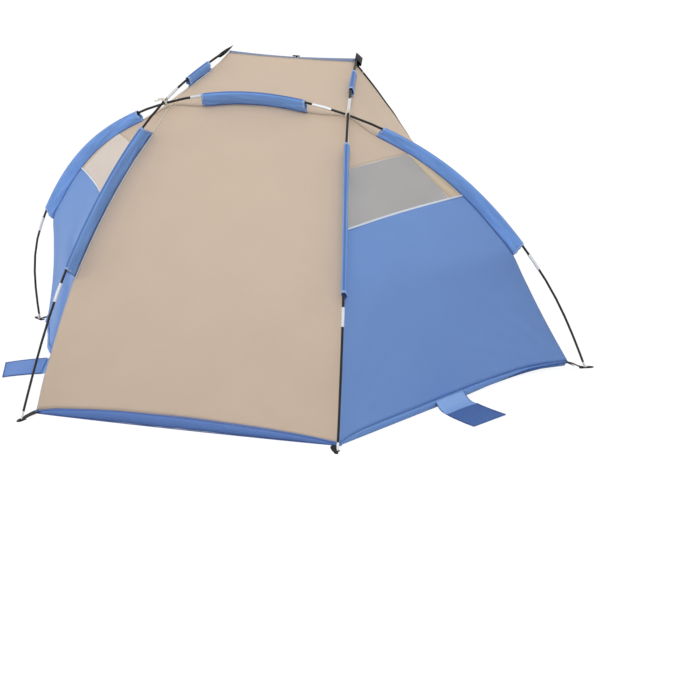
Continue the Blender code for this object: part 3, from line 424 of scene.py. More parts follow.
def natural_spline(knots):
    """A thin rod bent through the knots, as a function of the distance along its chords."""
    points = np.array(knots, float)
    spans = np.linalg.norm(np.diff(points, axis=0), axis=1)
    places = np.concatenate(([0.0], np.cumsum(spans)))
    count = len(points)
    system = np.eye(count)
    load = np.zeros_like(points)
    for i in range(1, count - 1):
        before, after = spans[i - 1], spans[i]
        system[i, i - 1 : i + 2] = before, 2 * (before + after), after
        rise = (points[i + 1] - points[i]) / after
        fall = (points[i] - points[i - 1]) / before
        load[i] = 6 * (rise - fall)
    bend = np.linalg.solve(system, load)

    def shape(where):
        i = min(max(bisect.bisect_right(places, where) - 1, 0), count - 2)
        span = spans[i]
        a = (places[i + 1] - where) / span
        b = (where - places[i]) / span
        curl = ((a**3 - a) * bend[i] + (b**3 - b) * bend[i + 1]) * span * span / 6
        return a * points[i] + b * points[i + 1] + curl

    return shape, places


def along(shape, start, end, count):
    return [shape(start + (end - start) * i / count) for i in range(count + 1)]


def curve(knots, count=CURVE_STEPS):
    """Even steps on the spline through the knots."""
    shape, places = natural_spline(knots)
    return np.array(along(shape, 0, places[-1], count))


class Pole:
    """A pole's axis through its stations, with the seam that hangs from it on the same stations."""

    def __init__(self, points):
        self.points = [np.array(p, float) for p in points]
        self.shape, self.places = natural_spline(self.points)
        self.length = float(self.places[-1])

    def tangent(self, where):
        return unit(self.shape(where + PROBE) - self.shape(where - PROBE))

    def hang(self, seam):
        self.seam = seam
        self.seam_shape, self.seam_places = natural_spline(seam)

    def root(self, where):
        return self.seam_shape(np.interp(where, self.places, self.seam_places))

    def seam_run(self, first, last):
        """The seam between two of its stations, drawn fine."""
        start, end = self.seam_places[first], self.seam_places[last]
        count = int(abs(end - start) / (CELL / 2))
        return np.array(along(self.seam_shape, start, end, count))


def rear_pole(side):
    half, eave_half = REAR_SPAN / 2, EAVE_SPAN / 2
    knots = [
        at(side * (half + (eave_half - half) * inward), EAVE_REACH * forward, EAVE_HEIGHT * upward)
        for inward, forward, upward in REAR_POLE_SHARES
    ]
    shape, places = natural_spline(knots)
    crossing = places[CROSSING_KNOT]
    points = along(shape, 0, crossing, LOWER_STATIONS)
    points += along(shape, crossing, places[-1], UPPER_STATIONS)[1:]
    return Pole(points)


def arch_pole(crossing, rear_way):
    half = FRONT_SPAN / 2
    top_reach = REAR_LINE - crossing[1] - ARCH_TOP_BACK
    lean = POLE_DEPTH - top_reach
    knots = [
        at(-half * outward, POLE_DEPTH - lean * back, ARCH_HEIGHT * rise)
        for outward, back, rise in ARCH_FOOT_SHARES
    ]
    top = at(0, top_reach, ARCH_HEIGHT)
    across = unit(top - knots[-1])
    down = unit(np.cross(rear_way, across))
    down *= -np.sign(down[2])
    left = [*knots, crossing + down * (2 * POLE_RADIUS + CROSSING_GAP)]
    right = [point * MIRROR for point in reversed(left)]
    shape, places = natural_spline([*left, top, *right])
    first, middle = places[len(knots)], places[len(knots) + 1]
    points = along(shape, 0, first, ARCH_SIDE_STATIONS)
    points += along(shape, first, middle, ARCH_TOP_STATIONS)[1:]
    points += [point * MIRROR for point in reversed(points[:-1])]
    return Pole(points)


def rear_places(pole):
    crossing = pole.places[LOWER_STATIONS]
    half = FERRULE_LENGTH / 2
    top_joint = crossing + TOP_FERRULE_GAP + half
    return {
        "crossing": crossing,
        "sleeve": (pole.length * REAR_FIRST_JOINT + half + REAR_SLEEVE_GAP, crossing - REAR_SLEEVE_TAIL),
        "eave_sleeve": (top_joint + half + EAVE_SLEEVE_GAP, pole.length - EAVE_SLEEVE_TAIL),
    }


def arch_places(pole):
    crossing = pole.places[ARCH_SIDE_STATIONS]
    start = pole.length * ARCH_FIRST_JOINT + FERRULE_LENGTH / 2 + ARCH_SLEEVE_GAP
    middle = pole.length / 2
    return {
        "crossing": crossing,
        "sleeve": (start, crossing - ARCH_SLEEVE_TAIL),
        "top_sleeve": (middle - TOP_SLEEVE_HALF, middle + TOP_SLEEVE_HALF),
    }


def offset_seam(pole, knots):
    """A seam off a pole's axis, its offsets blended between the places that state them."""
    places = [where for where, _ in knots]
    offsets = [vector for _, vector in knots]
    seam = []
    for where, point in zip(pole.places, pole.points):
        i = min(max(bisect.bisect_right(places, where) - 1, 0), len(places) - 2)
        share = min(max((where - places[i]) / (places[i + 1] - places[i]), 0.0), 1.0)
        blend = share * share * (3 - 2 * share)
        seam.append(point + offsets[i] * (1 - blend) + offsets[i + 1] * blend)
    return seam


def rear_seam(pole, node, side):
    places = rear_places(pole)
    corner = at(side * REAR_CORNER_HALF, REAR_CORNER_REACH, STRIP_HEIGHT)
    knots = [
        (0.0, corner - pole.points[0]),
        *[(where, offset(REAR_SEAM_DROP, side)) for where in places["sleeve"]],
        (places["crossing"], node - pole.points[LOWER_STATIONS]),
        *[(where, offset(EAVE_SEAM_DROP, side)) for where in places["eave_sleeve"]],
        (pole.length, offset(EAVE_CORNER_DROP, side)),
    ]
    return offset_seam(pole, knots)


def arch_seam(pole, nodes):
    places = arch_places(pole)
    start, end = places["sleeve"]
    corner = at(-FRONT_CORNER_HALF, FRONT_CORNER_REACH, STRIP_FRONT_HEIGHT)
    left = [
        (0.0, corner - pole.points[0]),
        (start, offset(ARCH_SEAM_DROP, -1)),
        (end, offset(ARCH_SEAM_END_DROP, -1)),
        (places["crossing"], nodes[-1] - pole.points[ARCH_SIDE_STATIONS]),
        (places["top_sleeve"][0], offset(ARCH_TOP_DROP, -1)),
    ]
    right = [(pole.length - where, vector * MIRROR) for where, vector in reversed(left)]
    seam = offset_seam(pole, [*left, *right])
    top = pole.shape(start) + offset(ARCH_SEAM_DROP, -1)
    for index, where in enumerate(pole.places):
        share = where / start
        if share < 1:
            sag = SEAM_SAG * math.sin(math.pi * share)
            seam[index] = corner * (1 - share) + top * share + np.array([sag, 0.0, 0.0])
    half = len(seam) // 2
    return [*seam[: half + 1], *[point * MIRROR for point in reversed(seam[:half])]]


def side_curve(side):
    wide = FRONT_CORNER_HALF - REAR_CORNER_HALF
    deep = FRONT_CORNER_REACH - REAR_CORNER_REACH
    high = STRIP_FRONT_HEIGHT - STRIP_HEIGHT
    knots = []
    for forward, outward in SIDE_EDGE_SHARES:
        half = REAR_CORNER_HALF + wide * outward
        knots.append(at(side * half, REAR_CORNER_REACH + deep * forward, STRIP_HEIGHT + high * forward))
    return curve(knots, SIDE_STEPS)


def front_edge(side, eave_corner):
    """A wing's free edge, from the eave's corner to the front corner of the floor."""
    foot = at(side * FRONT_CORNER_HALF, FRONT_CORNER_REACH, STRIP_FRONT_HEIGHT)
    knots = [eave_corner]
    for share, back, out in zip(FRONT_EDGE_SHARES, FRONT_EDGE_BACK, FRONT_EDGE_OUT):
        knots.append(eave_corner * (1 - share) + foot * share + np.array([side * out, back, 0.0]))
    return curve([*knots, foot], EDGE_STEPS)


def eave_curve(forward):
    left, right = EAVE_CORNERS.values()
    return curve([knot - BACK * forward for knot in (left, (left + right) / 2 + BACK * EAVE_BOW, right)])


def bowed(start, end, bow):
    inward = np.cross(unit(end - start), UP)
    inward *= -np.sign(inward[0] * start[0])
    shares = np.linspace(0, 1, CURVE_STEPS + 1)[:, None]
    return start * (1 - shares) + end * shares + inward * bow * hump(shares)


def ring(centre, first, second, count=RING_STEPS):
    """Points round a centre, closed, with the ring's two half axes."""
    turns = np.linspace(0, FULL_TURN, count + 1)[:, None]
    return centre + first * np.cos(turns) + second * np.sin(turns)


def run_length(points):
    return np.concatenate(([0.0], np.cumsum(np.linalg.norm(np.diff(points, axis=0), axis=1))))


def run_shares(run):
    places = run_length(run)
    return places / places[-1]


def drawn_to(run, move, reach):
    """A run whose start is moved, with the move fading along it."""
    fade = np.clip(1 - run_length(run) / reach, 0, 1) ** 2
    return run + np.array(move) * fade[:, None]


def eased(run, table, way):
    """A run moved one way, each point by what the table says for its share of the length."""
    return run + np.outer(looked_up(run_shares(run), table), way)


# Grids


def sampled(points, places, wheres):
    return np.stack([np.interp(wheres, places, points[:, k]) for k in range(3)], -1)


def spread(points, shares):
    """Points of a run at shares of its length."""
    places = run_length(points)
    if places[-1] < TINY:
        return np.repeat(points[:1], len(shares), axis=0)
    return sampled(points, places, np.array(shares) * places[-1])


def cut(points, start, end, count=CUT_STEPS):
    return spread(points, np.linspace(start, end, count + 1))


def cells(points):
    return max(4, int(run_length(np.asarray(points))[-1] / CELL))


def grid_shares(grid):
    """Shares down and across a grid, as a column and a row."""
    rows, columns, _ = grid.shape
    return np.linspace(0, 1, rows)[:, None], np.linspace(0, 1, columns)[None]


def patch(near, far, left, right, rows, columns):
    """Grid of a sheet stretched between four edges; near and far run from left to right."""
    v = np.linspace(0, 1, rows)[:, None, None]
    u = np.linspace(0, 1, columns)[None, :, None]
    near, far = spread(near, u.ravel())[None], spread(far, u.ravel())[None]
    left, right = spread(left, v.ravel())[:, None], spread(right, v.ravel())[:, None]
    between = near * (1 - v) + far * v
    across = left * (1 - u) + right * u
    low = near[:, :1] * (1 - u) + near[:, -1:] * u
    high = far[:, :1] * (1 - u) + far[:, -1:] * u
    return between + across - low * (1 - v) - high * v


def lengths(grid, axis):
    steps = np.linalg.norm(np.diff(grid, axis=axis), axis=2)
    first = np.zeros_like(np.take(steps, [0], axis=axis))
    return np.concatenate((first, np.cumsum(steps, axis=axis)), axis=axis)


def lifted(grid, lift):
    """A grid moved along its outward normals by a number or an array."""
    way = unit_rows(np.cross(np.gradient(grid, axis=1), np.gradient(grid, axis=0)))
    if (way * (grid - INSIDE)).sum() <= 0:
        way = -way
    return grid + way * np.asarray(lift)[..., None]


def edge_band(grid, edge, width, lift=TAPE_LIFT):
    """A band that follows one edge of a grid, from the edge inward."""
    turned = {
        "left": grid,
        "right": grid[:, ::-1],
        "near": grid.transpose(1, 0, 2),
        "far": grid[::-1].transpose(1, 0, 2),
    }
    source = turned[edge]
    steps = np.linspace(0, width, 3)
    runs = zip(lifted(source, lift), lengths(source, 1))
    return np.array([sampled(run, places, steps) for run, places in runs])


def ripple(grid, name, more_seed=0.0):
    """Smooth noise over a grid, by the name of its row in RIPPLES."""
    depth, size, seed, stretch = RIPPLES[name]
    seed += more_seed
    scale = np.array([1.0, 1.0, stretch]) / size
    start = Vector((seed, seed / 2, -seed))
    values = [noise.noise(Vector(p * scale) + start) for p in grid.reshape(-1, 3)]
    return depth * np.array(values).reshape(grid.shape[:2])


def fold_fan(grid, row, column, fold):
    """Creases that run out from a grid's corner and fade."""
    depth, count, reach = fold
    down, across = lengths(grid, 0), lengths(grid, 1)
    y = np.abs(down - down[row, column])
    x = np.abs(across - across[:, [column]])
    far = np.hypot(x, y) / reach
    return depth * np.sin(count * np.arctan2(y, x + TINY)) * far * np.exp(1 - far) * np.exp(-(far**2) / 3)


def tube_grid(points, radius, count, profile=None):
    """Rings round a run of points; a profile gives each ring's share of the radius."""
    points = np.array(points, float)
    ways = np.gradient(points, axis=0)
    side = unit(np.cross(ways[0], (0.31, 0.23, 0.92)))
    turns = np.linspace(0, FULL_TURN, count + 1)
    rings = []
    for k, (point, way) in enumerate(zip(points, ways)):
        way = unit(way)
        side = unit(side - way * np.dot(side, way))
        up = np.cross(way, side)
        size = radius * (profile[k] if profile is not None else 1.0)
        rings.append([point + size * (math.cos(a) * side + math.sin(a) * up) for a in turns])
    return np.array(rings)


def ribbon_grid(points, across, width, count):
    """A flat band along points, as wide as given along one way."""
    steps = np.linspace(-width / 2, width / 2, count)
    return np.array(points, float)[:, None] + across[None, None] * steps[None, :, None]


class Builder:
    """Gathers grids into one mesh with UVs in metres."""

    def __init__(self):
        self.points = []
        self.faces = []
        self.uvs = []
        self.slots = []
        self.area = 0.0
        self.span = (0.0, 0.0)

    def add(self, grid, centre=INSIDE, slot=0):
        rows, columns, _ = grid.shape
        base = len(self.points)
        across, down = lengths(grid, 1), lengths(grid, 0)
        self.span = (float(across[:, -1].max()), float(down[-1].max()))
        across = across - across[:, -1:] / 2
        way = np.cross(np.gradient(grid, axis=1), np.gradient(grid, axis=0))
        flip = (way * (grid - centre)).sum() < 0
        self.points += [tuple(p) for p in grid.reshape(-1, 3)]
        self.uvs += list(zip(across.ravel(), down.ravel()))
        for i in range(rows - 1):
            for j in range(columns - 1):
                a = base + i * columns + j
                face = (a, a + 1, a + columns + 1, a + columns)
                self.faces.append(face[::-1] if flip else face)
                self.slots.append(slot)
        du, dv = np.diff(grid, axis=1)[:-1], np.diff(grid, axis=0)[:, :-1]
        self.area += float(np.linalg.norm(np.cross(du, dv), axis=2).sum())
        return self

    def tube(self, points, radius, count=TUBE_SIDES, closed=False):
        """A round cord along points, with rounded ends unless it is closed."""
        points = np.array(points, float)
        profile = None
        if not closed:
            ends = []
            for first, second in ((points[0], points[1]), (points[-1], points[-2])):
                way = unit(first - second)
                ends.append([first + way * radius * share for share in ROUND_END_PLACES])
            profile = [*ROUND_END_SIZES[::-1], *[1.0] * (len(points) - 2), *ROUND_END_SIZES]
            points = np.concatenate((ends[0][::-1], points[1:-1], ends[1]))
        return self.add(tube_grid(points, radius, count, profile), points[:, None])

    def make(self, name, finishes, thickness, side):
        mesh = bpy.data.meshes.new(name)
        mesh.from_pydata(self.points, [], self.faces)
        layer = mesh.uv_layers.new(name="cloth")
        for loop in mesh.loops:
            layer.data[loop.index].uv = self.uvs[loop.vertex_index]
        for finish in finishes:
            mesh.materials.append(finish.material)
        mesh.polygons.foreach_set("material_index", self.slots)
        mesh.flip_normals()
        mesh.shade_smooth()
        item = bpy.data.objects.new(name, mesh)
        bpy.context.scene.collection.objects.link(item)
        if thickness:
            cloth = item.modifiers.new("cloth", "SOLIDIFY")
            cloth.thickness = thickness
            cloth.offset = side
        return item


# Materials


def wire(tree, value, target):
    """Gives a socket a value, or links another node's output to it."""
    if isinstance(value, bpy.types.NodeSocket):
        tree.links.new(value, target)
    else:
        target.default_value = value


def added(tree, kind, *values, **named):
    """A new node, its sockets given by place or by name, with _ for a space."""
    node = tree.nodes.new(kind)
    for target, value in zip(node.inputs, values):
        wire(tree, value, target)
    for name, value in named.items():
        wire(tree, value, node.inputs[name.replace("_", " ")])
    return node


def worked(tree, operation, *values):
    """The result of a math node."""
    node = added(tree, "ShaderNodeMath", *values)
    node.operation = operation
    return node.outputs[0]


class Finish:
    """A material round one Principled shader."""

    def __init__(self, name, colour, roughness, metallic=0.0):
        self.material = bpy.data.materials.new(name)
        self.material.use_nodes = True
        self.tree = self.material.node_tree
        self.shader = self.tree.nodes["Principled BSDF"]
        self.colour = colour
        self.put("Base Color", (*colour, 1.0))
        self.put("Roughness", roughness)
        self.put("Metallic", metallic)

    def put(self, name, value):
        wire(self.tree, value, self.shader.inputs[name])

    def space(self, output="UV"):
        return added(self.tree, "ShaderNodeTexCoord").outputs[output]

    def math(self, operation, *values):
        return worked(self.tree, operation, *values)

    def noise(self, space, scale, detail=3.0, stretch=1.0):
        mapping = added(self.tree, "ShaderNodeMapping", Vector=space, Scale=(1.0, stretch, 1.0))
        node = added(self.tree, "ShaderNodeTexNoise", Vector=mapping.outputs[0], Scale=scale, Detail=detail)
        return node.outputs["Fac"]

    def bands(self, space, period, direction, profile="SIN"):
        node = added(self.tree, "ShaderNodeTexWave", Vector=space, Scale=FULL_TURN / WAVE_TURN / period)
        node.wave_type = "BANDS"
        node.bands_direction = direction
        node.wave_profile = profile
        return node.outputs["Fac"]

    def tone(self, factor, low, high):
        """The colour, from low to high times itself by a factor."""
        ramp = added(self.tree, "ShaderNodeValToRGB", factor)
        for element, stop, share in zip(ramp.color_ramp.elements, TONE_STOPS, (low, high)):
            element.position = stop
            element.color = (*[min(c * share, 1.0) for c in self.colour], 1.0)
        self.put("Base Color", ramp.outputs["Color"])

    def bump(self, height, distance, strength, **under):
        sizes = {"Distance": distance, "Strength": strength}
        return added(self.tree, "ShaderNodeBump", Height=height, **sizes, **under).outputs["Normal"]

    def sheen(self, weight, roughness, tint):
        self.put("Sheen Weight", weight)
        self.put("Sheen Roughness", roughness)
        self.put("Sheen Tint", (*tint, 1.0))


def woven(
    name,
    colour,
    pitch=WEAVE_PITCH,
    roughness=0.62,
    tones=(0.97, 1.03),
    crinkle=0.0012,
    glow=0.4,
    patches=(5.0, 1.0),
):
    """Coated polyester: plain weave, slow changes of tone and a light crinkle."""
    finish = Finish(name, colour, roughness)
    space = finish.space()
    weave = finish.math("MULTIPLY", finish.bands(space, pitch, "X"), finish.bands(space, pitch, "Y"))
    slow = finish.noise(space, patches[0], 4.0, patches[1])
    threads = finish.noise(space, 260.0, 2.0, 6.0)
    mixed = finish.math("ADD", finish.math("MULTIPLY", slow, 0.75), finish.math("MULTIPLY", threads, 0.25))
    finish.tone(mixed, *tones)
    soft = finish.bump(finish.noise(space, 26.0), crinkle, 0.5)
    finish.put("Normal", finish.bump(weave, 0.00006, 0.6, Normal=soft))
    finish.put("Roughness", finish.math("MULTIPLY_ADD", slow, 0.10, roughness - 0.05))
    finish.sheen(0.05, 0.45, [min(c * 1.6, 1.0) for c in colour])
    finish.put("Specular IOR Level", 0.35)
    finish.put("Subsurface Weight", glow)
    finish.put("Subsurface Radius", (1.0, 1.0, 1.0))
    finish.put("Subsurface Scale", 0.004)
    return finish


def painted_glow_inside(name, light, strength):
    """The tan cloth's inner face, with a painted glow in place of the light that comes through it."""
    finish = woven(name, TAN_COLOUR, glow=0.0)
    finish.put("Emission Color", (*light, 1.0))
    finish.put("Emission Strength", strength)
    return finish


def netting(name, colour, pitch=0.0016, cover=0.45):
    """Fly mesh: threads in a square net with clear holes."""
    finish = Finish(name, colour, 0.7)
    space = finish.space()
    threads = [finish.bands(space, pitch, direction, "TRI") for direction in "XY"]
    finish.put("Alpha", finish.math("GREATER_THAN", finish.math("MAXIMUM", *threads), 1 - cover / 2))
    finish.tone(finish.noise(space, 9.0), 0.94, 1.06)
    return finish


def webbing(name, colour, rib=0.0016):
    """Woven strap: ribs along it and a fine cross weave."""
    finish = Finish(name, colour, 0.6)
    space = finish.space()
    cross = finish.math("MULTIPLY", finish.bands(space, rib * 0.6, "Y"), 0.4)
    finish.put("Normal", finish.bump(finish.math("ADD", finish.bands(space, rib, "X"), cross), 0.0003, 0.8))
    finish.tone(finish.noise(space, 40.0, 4.0), 0.8, 1.35)
    finish.put("Specular IOR Level", 0.25)
    return finish


def twisted(name, colour, pitch=0.004):
    """Braided cord."""
    finish = Finish(name, colour, 0.75)
    space = finish.space("Object")
    finish.put("Normal", finish.bump(finish.bands(space, pitch, "DIAGONAL"), 0.0004, 0.7))
    finish.tone(finish.noise(space, 60.0), 0.88, 1.08)
    finish.sheen(0.2, 0.5, (1.0, 1.0, 1.0))
    return finish


def moulded(name, colour, roughness, metallic=0.0, tones=(0.9, 1.1)):
    """Plastic, resin or metal with a fine grain and faint handling marks."""
    finish = Finish(name, colour, roughness, metallic)
    space = finish.space("Object")
    finish.tone(finish.noise(space, 22.5, 4.0), *tones)
    finish.put("Normal", finish.bump(finish.noise(space, 540.0, 2.0), 0.00008, 0.5))
    finish.put("Roughness", finish.math("MULTIPLY_ADD", finish.noise(space, 90.0), 0.16, roughness - 0.08))
    return finish


TAN = woven("tan_cloth", TAN_COLOUR)
# Painted light: the inner faces of the roof, the gussets and the left wing glow
TAN_INSIDE_GLOW = painted_glow_inside("tan_cloth_inside_painted_glow", INSIDE_GLOW_COLOUR, INSIDE_GLOW_STRENGTH)
TAN_WING_GLOW = painted_glow_inside("tan_cloth_wing_painted_glow", WING_GLOW_COLOUR, WING_GLOW_STRENGTH)
BLUE = woven("blue_cloth", (0.141, 0.262, 0.572))
EDGE_BLUE = woven("edge_cloth", (0.150, 0.285, 0.630))
# Painted shade: the floor's blue darkened for the rear turned-up edge; the corner tabs use it too
SHADED_ROLL_BLUE = woven("roll_cloth_painted_shade", (0.102, 0.195, 0.490))
# Painted shade and highlight: the strong, stretched tone patches imitate the light and shade of creases
# along the sleeves
SLEEVE = woven(
    "sleeve_cloth", (0.166, 0.324, 0.700), tones=(0.78, 1.22), crinkle=0.006, glow=0.0, patches=(26.0, 0.22)
)
# Painted shade: darker blue for the rounded outer edge of the sleeves
SLEEVE_EDGE_SHADE = woven("sleeve_edge_painted_shade", (0.085, 0.170, 0.400), glow=0.0)
# Dark seam colour, also used for the painted shade line at the rear roll's foot
SEAM_AND_SHADE_LINE = woven("seam_cloth", (0.060, 0.110, 0.300), glow=0.0)
PALE_SEAM = woven("pale_seam_cloth", (0.520, 0.560, 0.620), glow=0.0)
FACING = woven("facing_cloth", (0.625, 0.485, 0.335))
TAN_SEAM = woven("tan_seam_cloth", (0.430, 0.345, 0.270), glow=0.0)
HEM_BLUE = woven("hem_cloth", (0.300, 0.450, 0.800))
EAVE_BLUE = woven("eave_cloth", (0.200, 0.245, 0.360))
DARK_BLUE = woven("dark_blue_cloth", (0.060, 0.120, 0.330), roughness=0.7)
# Painted shade: a darker copy of the pocket blue, for the left bag
SHADED_POCKET_BLUE = woven("pocket_cloth", (0.068, 0.137, 0.350))
POCKET_PALE = woven("pale_pocket_cloth", (0.145, 0.275, 0.630))
FLAP_BLUE = woven("flap_cloth", (0.262, 0.430, 0.810))
PALE_HEM = woven("pale_hem", (0.700, 0.740, 0.800), TAPE_PITCH)
CREAM = woven("cream_tape", (0.720, 0.650, 0.560), TAPE_PITCH)
MESH = netting("window_net", (0.760, 0.725, 0.700))
WEBBING = webbing("black_webbing", (0.008, 0.008, 0.009))
BINDING = webbing("black_binding", (0.007, 0.007, 0.008), TAPE_PITCH)
FIBREGLASS = moulded("black_fibreglass", (0.008, 0.008, 0.009), 0.42, tones=(0.7, 1.3))
FIBREGLASS.put("Specular IOR Level", 0.3)
SILVER = moulded("ferrule_metal", (0.700, 0.710, 0.725), 0.38, 0.7, (0.94, 1.04))
PIN = moulded("pin_plastic", (0.780, 0.780, 0.770), 0.42)
EYELET = moulded("eyelet_metal", (0.620, 0.625, 0.635), 0.30, 0.95)
CORD = twisted("white_cord", (0.700, 0.690, 0.660))
TIE = twisted("tie_cord", (0.700, 0.650, 0.540), 0.003)
NODE_FINISHES = {"foot_pin": PIN, "shock_cord": CORD, "ferrule": SILVER, "_pole_": FIBREGLASS}


# Pieces


def piece(name, builder, finishes, slot, nodes=(), body="tent", thickness=CLOTH, side=1.0):
    """A mesh that rides a body and may stand for CAD nodes. The slot argument is not used."""
    item = builder.make(name, finishes if isinstance(finishes, tuple) else (finishes,), thickness, side)
    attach(item, body)
    if nodes:
        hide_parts(*nodes)
    return item


def flat_sheet(builder):
    """Measures a panel's own cut on the grid; the values are not used."""
    width, length = (round(value, 4) for value in builder.span)
    area = round(min(builder.area, width * length), 5)


def cloth_panel(name, grid, finish, slot, node, inside=None):
    """A sheet held by its seams, which may have another look inside."""
    builder = Builder().add(grid)
    item = piece(name, builder, (inside or finish, finish), slot, [node])
    item.modifiers["cloth"].material_offset = 1
    flat_sheet(builder)


# The frame of curves that everything hangs from

POLES = {side: rear_pole(side) for side in SIDES}
ARCH = arch_pole(POLES[-1].points[LOWER_STATIONS], POLES[-1].tangent(rear_places(POLES[-1])["crossing"]))
ARCH_CROSSING = arch_places(ARCH)["crossing"]
ARCH_CROSSINGS = {-1: ARCH_CROSSING, 1: ARCH.length - ARCH_CROSSING}
NODES = {side: ARCH.shape(ARCH_CROSSINGS[side]) + offset(NODE_DROP, side) for side in SIDES}
ARCH.hang(arch_seam(ARCH, NODES))
LEFT_ARCH = ARCH.seam_run(0, ARCH_SIDE_STATIONS)
TOP_ARCH = ARCH.seam_run(ARCH_SIDE_STATIONS, len(ARCH.points) - 1 - ARCH_SIDE_STATIONS)
LOWER = {}
UPPER = {}
SIDE_ARCH = {}
EDGE_RUNS = {}
EAVE_CORNERS = {}
for side, pole in POLES.items():
    pole.hang(rear_seam(pole, NODES[side], side))
    run = drawn_to(pole.seam_run(0, LOWER_STATIONS), REAR_CORNER_MOVES[side], REAR_CORNER_FADE)
    LOWER[side] = eased(run, REAR_SEAM_EASE[side], REAR_SEAM_WAY)
    UPPER[side] = pole.seam_run(LOWER_STATIONS, LOWER_STATIONS + UPPER_STATIONS)
    run = LEFT_ARCH if side < 0 else LEFT_ARCH * MIRROR
    SIDE_ARCH[side] = drawn_to(run, FRONT_CORNER_MOVES[side], FRONT_CORNER_FADE)
    run = drawn_to(side_curve(side), REAR_CORNER_MOVES[side], EDGE_CORNER_FADE)
    EDGE_RUNS[side] = drawn_to(run[::-1], FRONT_CORNER_MOVES[side], FRONT_CORNER_FADE)[::-1]
    EAVE_CORNERS[side] = pole.seam[-1]
GROUND = {-1: EDGE_RUNS[-1], 1: eased(EDGE_RUNS[1], RIGHT_EDGE_BULGE, (1.0, 0.0, 0.0))}


# Panels


def rear_rim():
    """The seam between the rear panel and the floor's turned-up edge, from left to right."""
    shares = np.linspace(0, 1, EDGE_STEPS)
    rim = LOWER[-1][0] * (1 - shares[:, None]) + LOWER[1][0] * shares[:, None]
    rim[:, 2] = looked_up(1 - shares, REAR_RIM)
    for _ in range(RIM_SMOOTHINGS):
        rim[1:-1, 2] = (rim[:-2, 2] + 2 * rim[1:-1, 2] + rim[2:, 2]) / 4
    return rim


def rear_cloth():
    bottom = rear_rim()
    grid = patch(bottom, TOP_ARCH, LOWER[-1], LOWER[1], cells(LOWER[-1]), cells(bottom))
    v, u = grid_shares(grid)
    relief = ripple(grid, "rear") * hump(v) ** 0.5 - REAR_HOLLOW * hump(v) * hump(u)
    for column in (0, -1):
        relief += fold_fan(grid, -1, column, REAR_FOLD) * hump(u)
    cloth_panel("rear_panel_cloth", lifted(grid, relief), TAN, "tan_polyester", "rear_panel")


def roof_cloth():
    """The roof, from the arch forward to the eave, and the hem tape on its front edge."""
    far, edge = eave_curve(0.0), eave_curve(HEM_WIDTH)
    shares = np.linspace(0, 1, len(far))
    far[:, 2] += looked_up(shares, ROOF_RISE)
    edge[:, 2] += looked_up(shares, HEM_RISE)
    sides = []
    for side, (_, rise) in zip(SIDES, (ROOF_RISE[0], ROOF_RISE[-1])):
        sides.append(drawn_to(UPPER[side][::-1], UP * rise, EDGE_CORNER_FADE)[::-1])
    grid = patch(TOP_ARCH, far, *sides, ROOF_ROWS, cells(TOP_ARCH) + ROOF_MORE_COLUMNS)
    v, u = grid_shares(grid)
    grid = lifted(grid, ripple(grid, "roof") * hump(v) - ROOF_HOLLOW * hump(v) * hump(u))
    cloth_panel("roof_cloth", grid, TAN, "tan_polyester", "roof_panel", TAN_INSIDE_GLOW)
    ends = [np.array([far[end], edge[end]]) for end in (0, -1)]
    tape = patch(far, edge, *ends, TAPE_COLUMNS, len(far))
    builder = Builder().add(tape).add(edge_band(grid, "far", HEM_UNDER_WIDTH))
    piece("eave_hem_tape", builder, EAVE_BLUE, "blue_polyester", ["eave_hem"], thickness=HEM_THICKNESS)


def side_cloths(side):
    """The blue panel, the mesh window over it and the gusset over that, between the two poles."""
    name = SIDES[side]
    seams = LOWER[side], SIDE_ARCH[side]
    cuts = (0.0, *WINDOW_REAR_SHARES, 1.0), (0.0, *WINDOW_ARCH_SHARES, 1.0)
    lower = GROUND[side]
    grids = []
    for level in range(3):
        rear, arch = [cut(seam, c[level], c[level + 1]) for seam, c in zip(seams, cuts)]
        rows = cells(rear)
        if level < 2:
            upper = bowed(rear[-1], arch[-1], WINDOW_BOWS[level])
        else:
            rear, arch = cut(rear, 0, GUSSET_KEEP), cut(arch, 0, GUSSET_KEEP)
            upper = np.array([rear[-1], arch[-1]])
        grids.append(patch(lower, upper, rear, arch, rows, cells(lower)))
        lower = upper
    panel, window, gusset = grids
    v, u = grid_shares(panel)
    relief = ripple(panel, "side", side) * hump(u) - SIDE_HOLLOW * hump(v) * hump(u)
    relief += fold_fan(panel, 0, -1, SIDE_FRONT_FOLD) * hump(u) ** 0.5
    relief += fold_fan(panel, 0, 0, SIDE_REAR_FOLD) * hump(u) ** 0.5
    if side > 0:
        relief = relief - SIDE_HOLLOW * hump(np.minimum(u / REAR_PULL_SHARE, 1.0)) ** 2 * (1 - v)
    panel = lifted(panel, relief)
    window = lifted(window, -WINDOW_HOLLOW * hump(grid_shares(window)[1]))
    cloth_panel(f"{name}_side_cloth", panel, BLUE, "blue_polyester", f"{name}_side_panel")
    builder = Builder().add(window)
    item = piece(f"{name}_window_net", builder, MESH, "mesh_grey", [f"{name}_mesh_window"], thickness=0.0)
    flat_sheet(builder)
    node = f"{name}_side_gusset"
    cloth_panel(f"{name}_gusset_cloth", gusset, TAN, "tan_polyester", node, TAN_INSIDE_GLOW)
    hem = edge_band(window, "near", WINDOW_HEM_WIDTH, WINDOW_HEM_LIFT)
    piece(f"{name}_window_hem", Builder().add(hem), PALE_HEM, "tan_polyester")
    facing = edge_band(window, "right", FACING_WIDTHS[side])
    narrowed = looked_up(np.linspace(0, 1, len(facing)), FACING_TAPER)
    facing = facing[:, :1] + (facing - facing[:, :1]) * narrowed[:, None, None]
    piece(f"{name}_window_facing", Builder().add(facing), FACING, "tan_polyester")


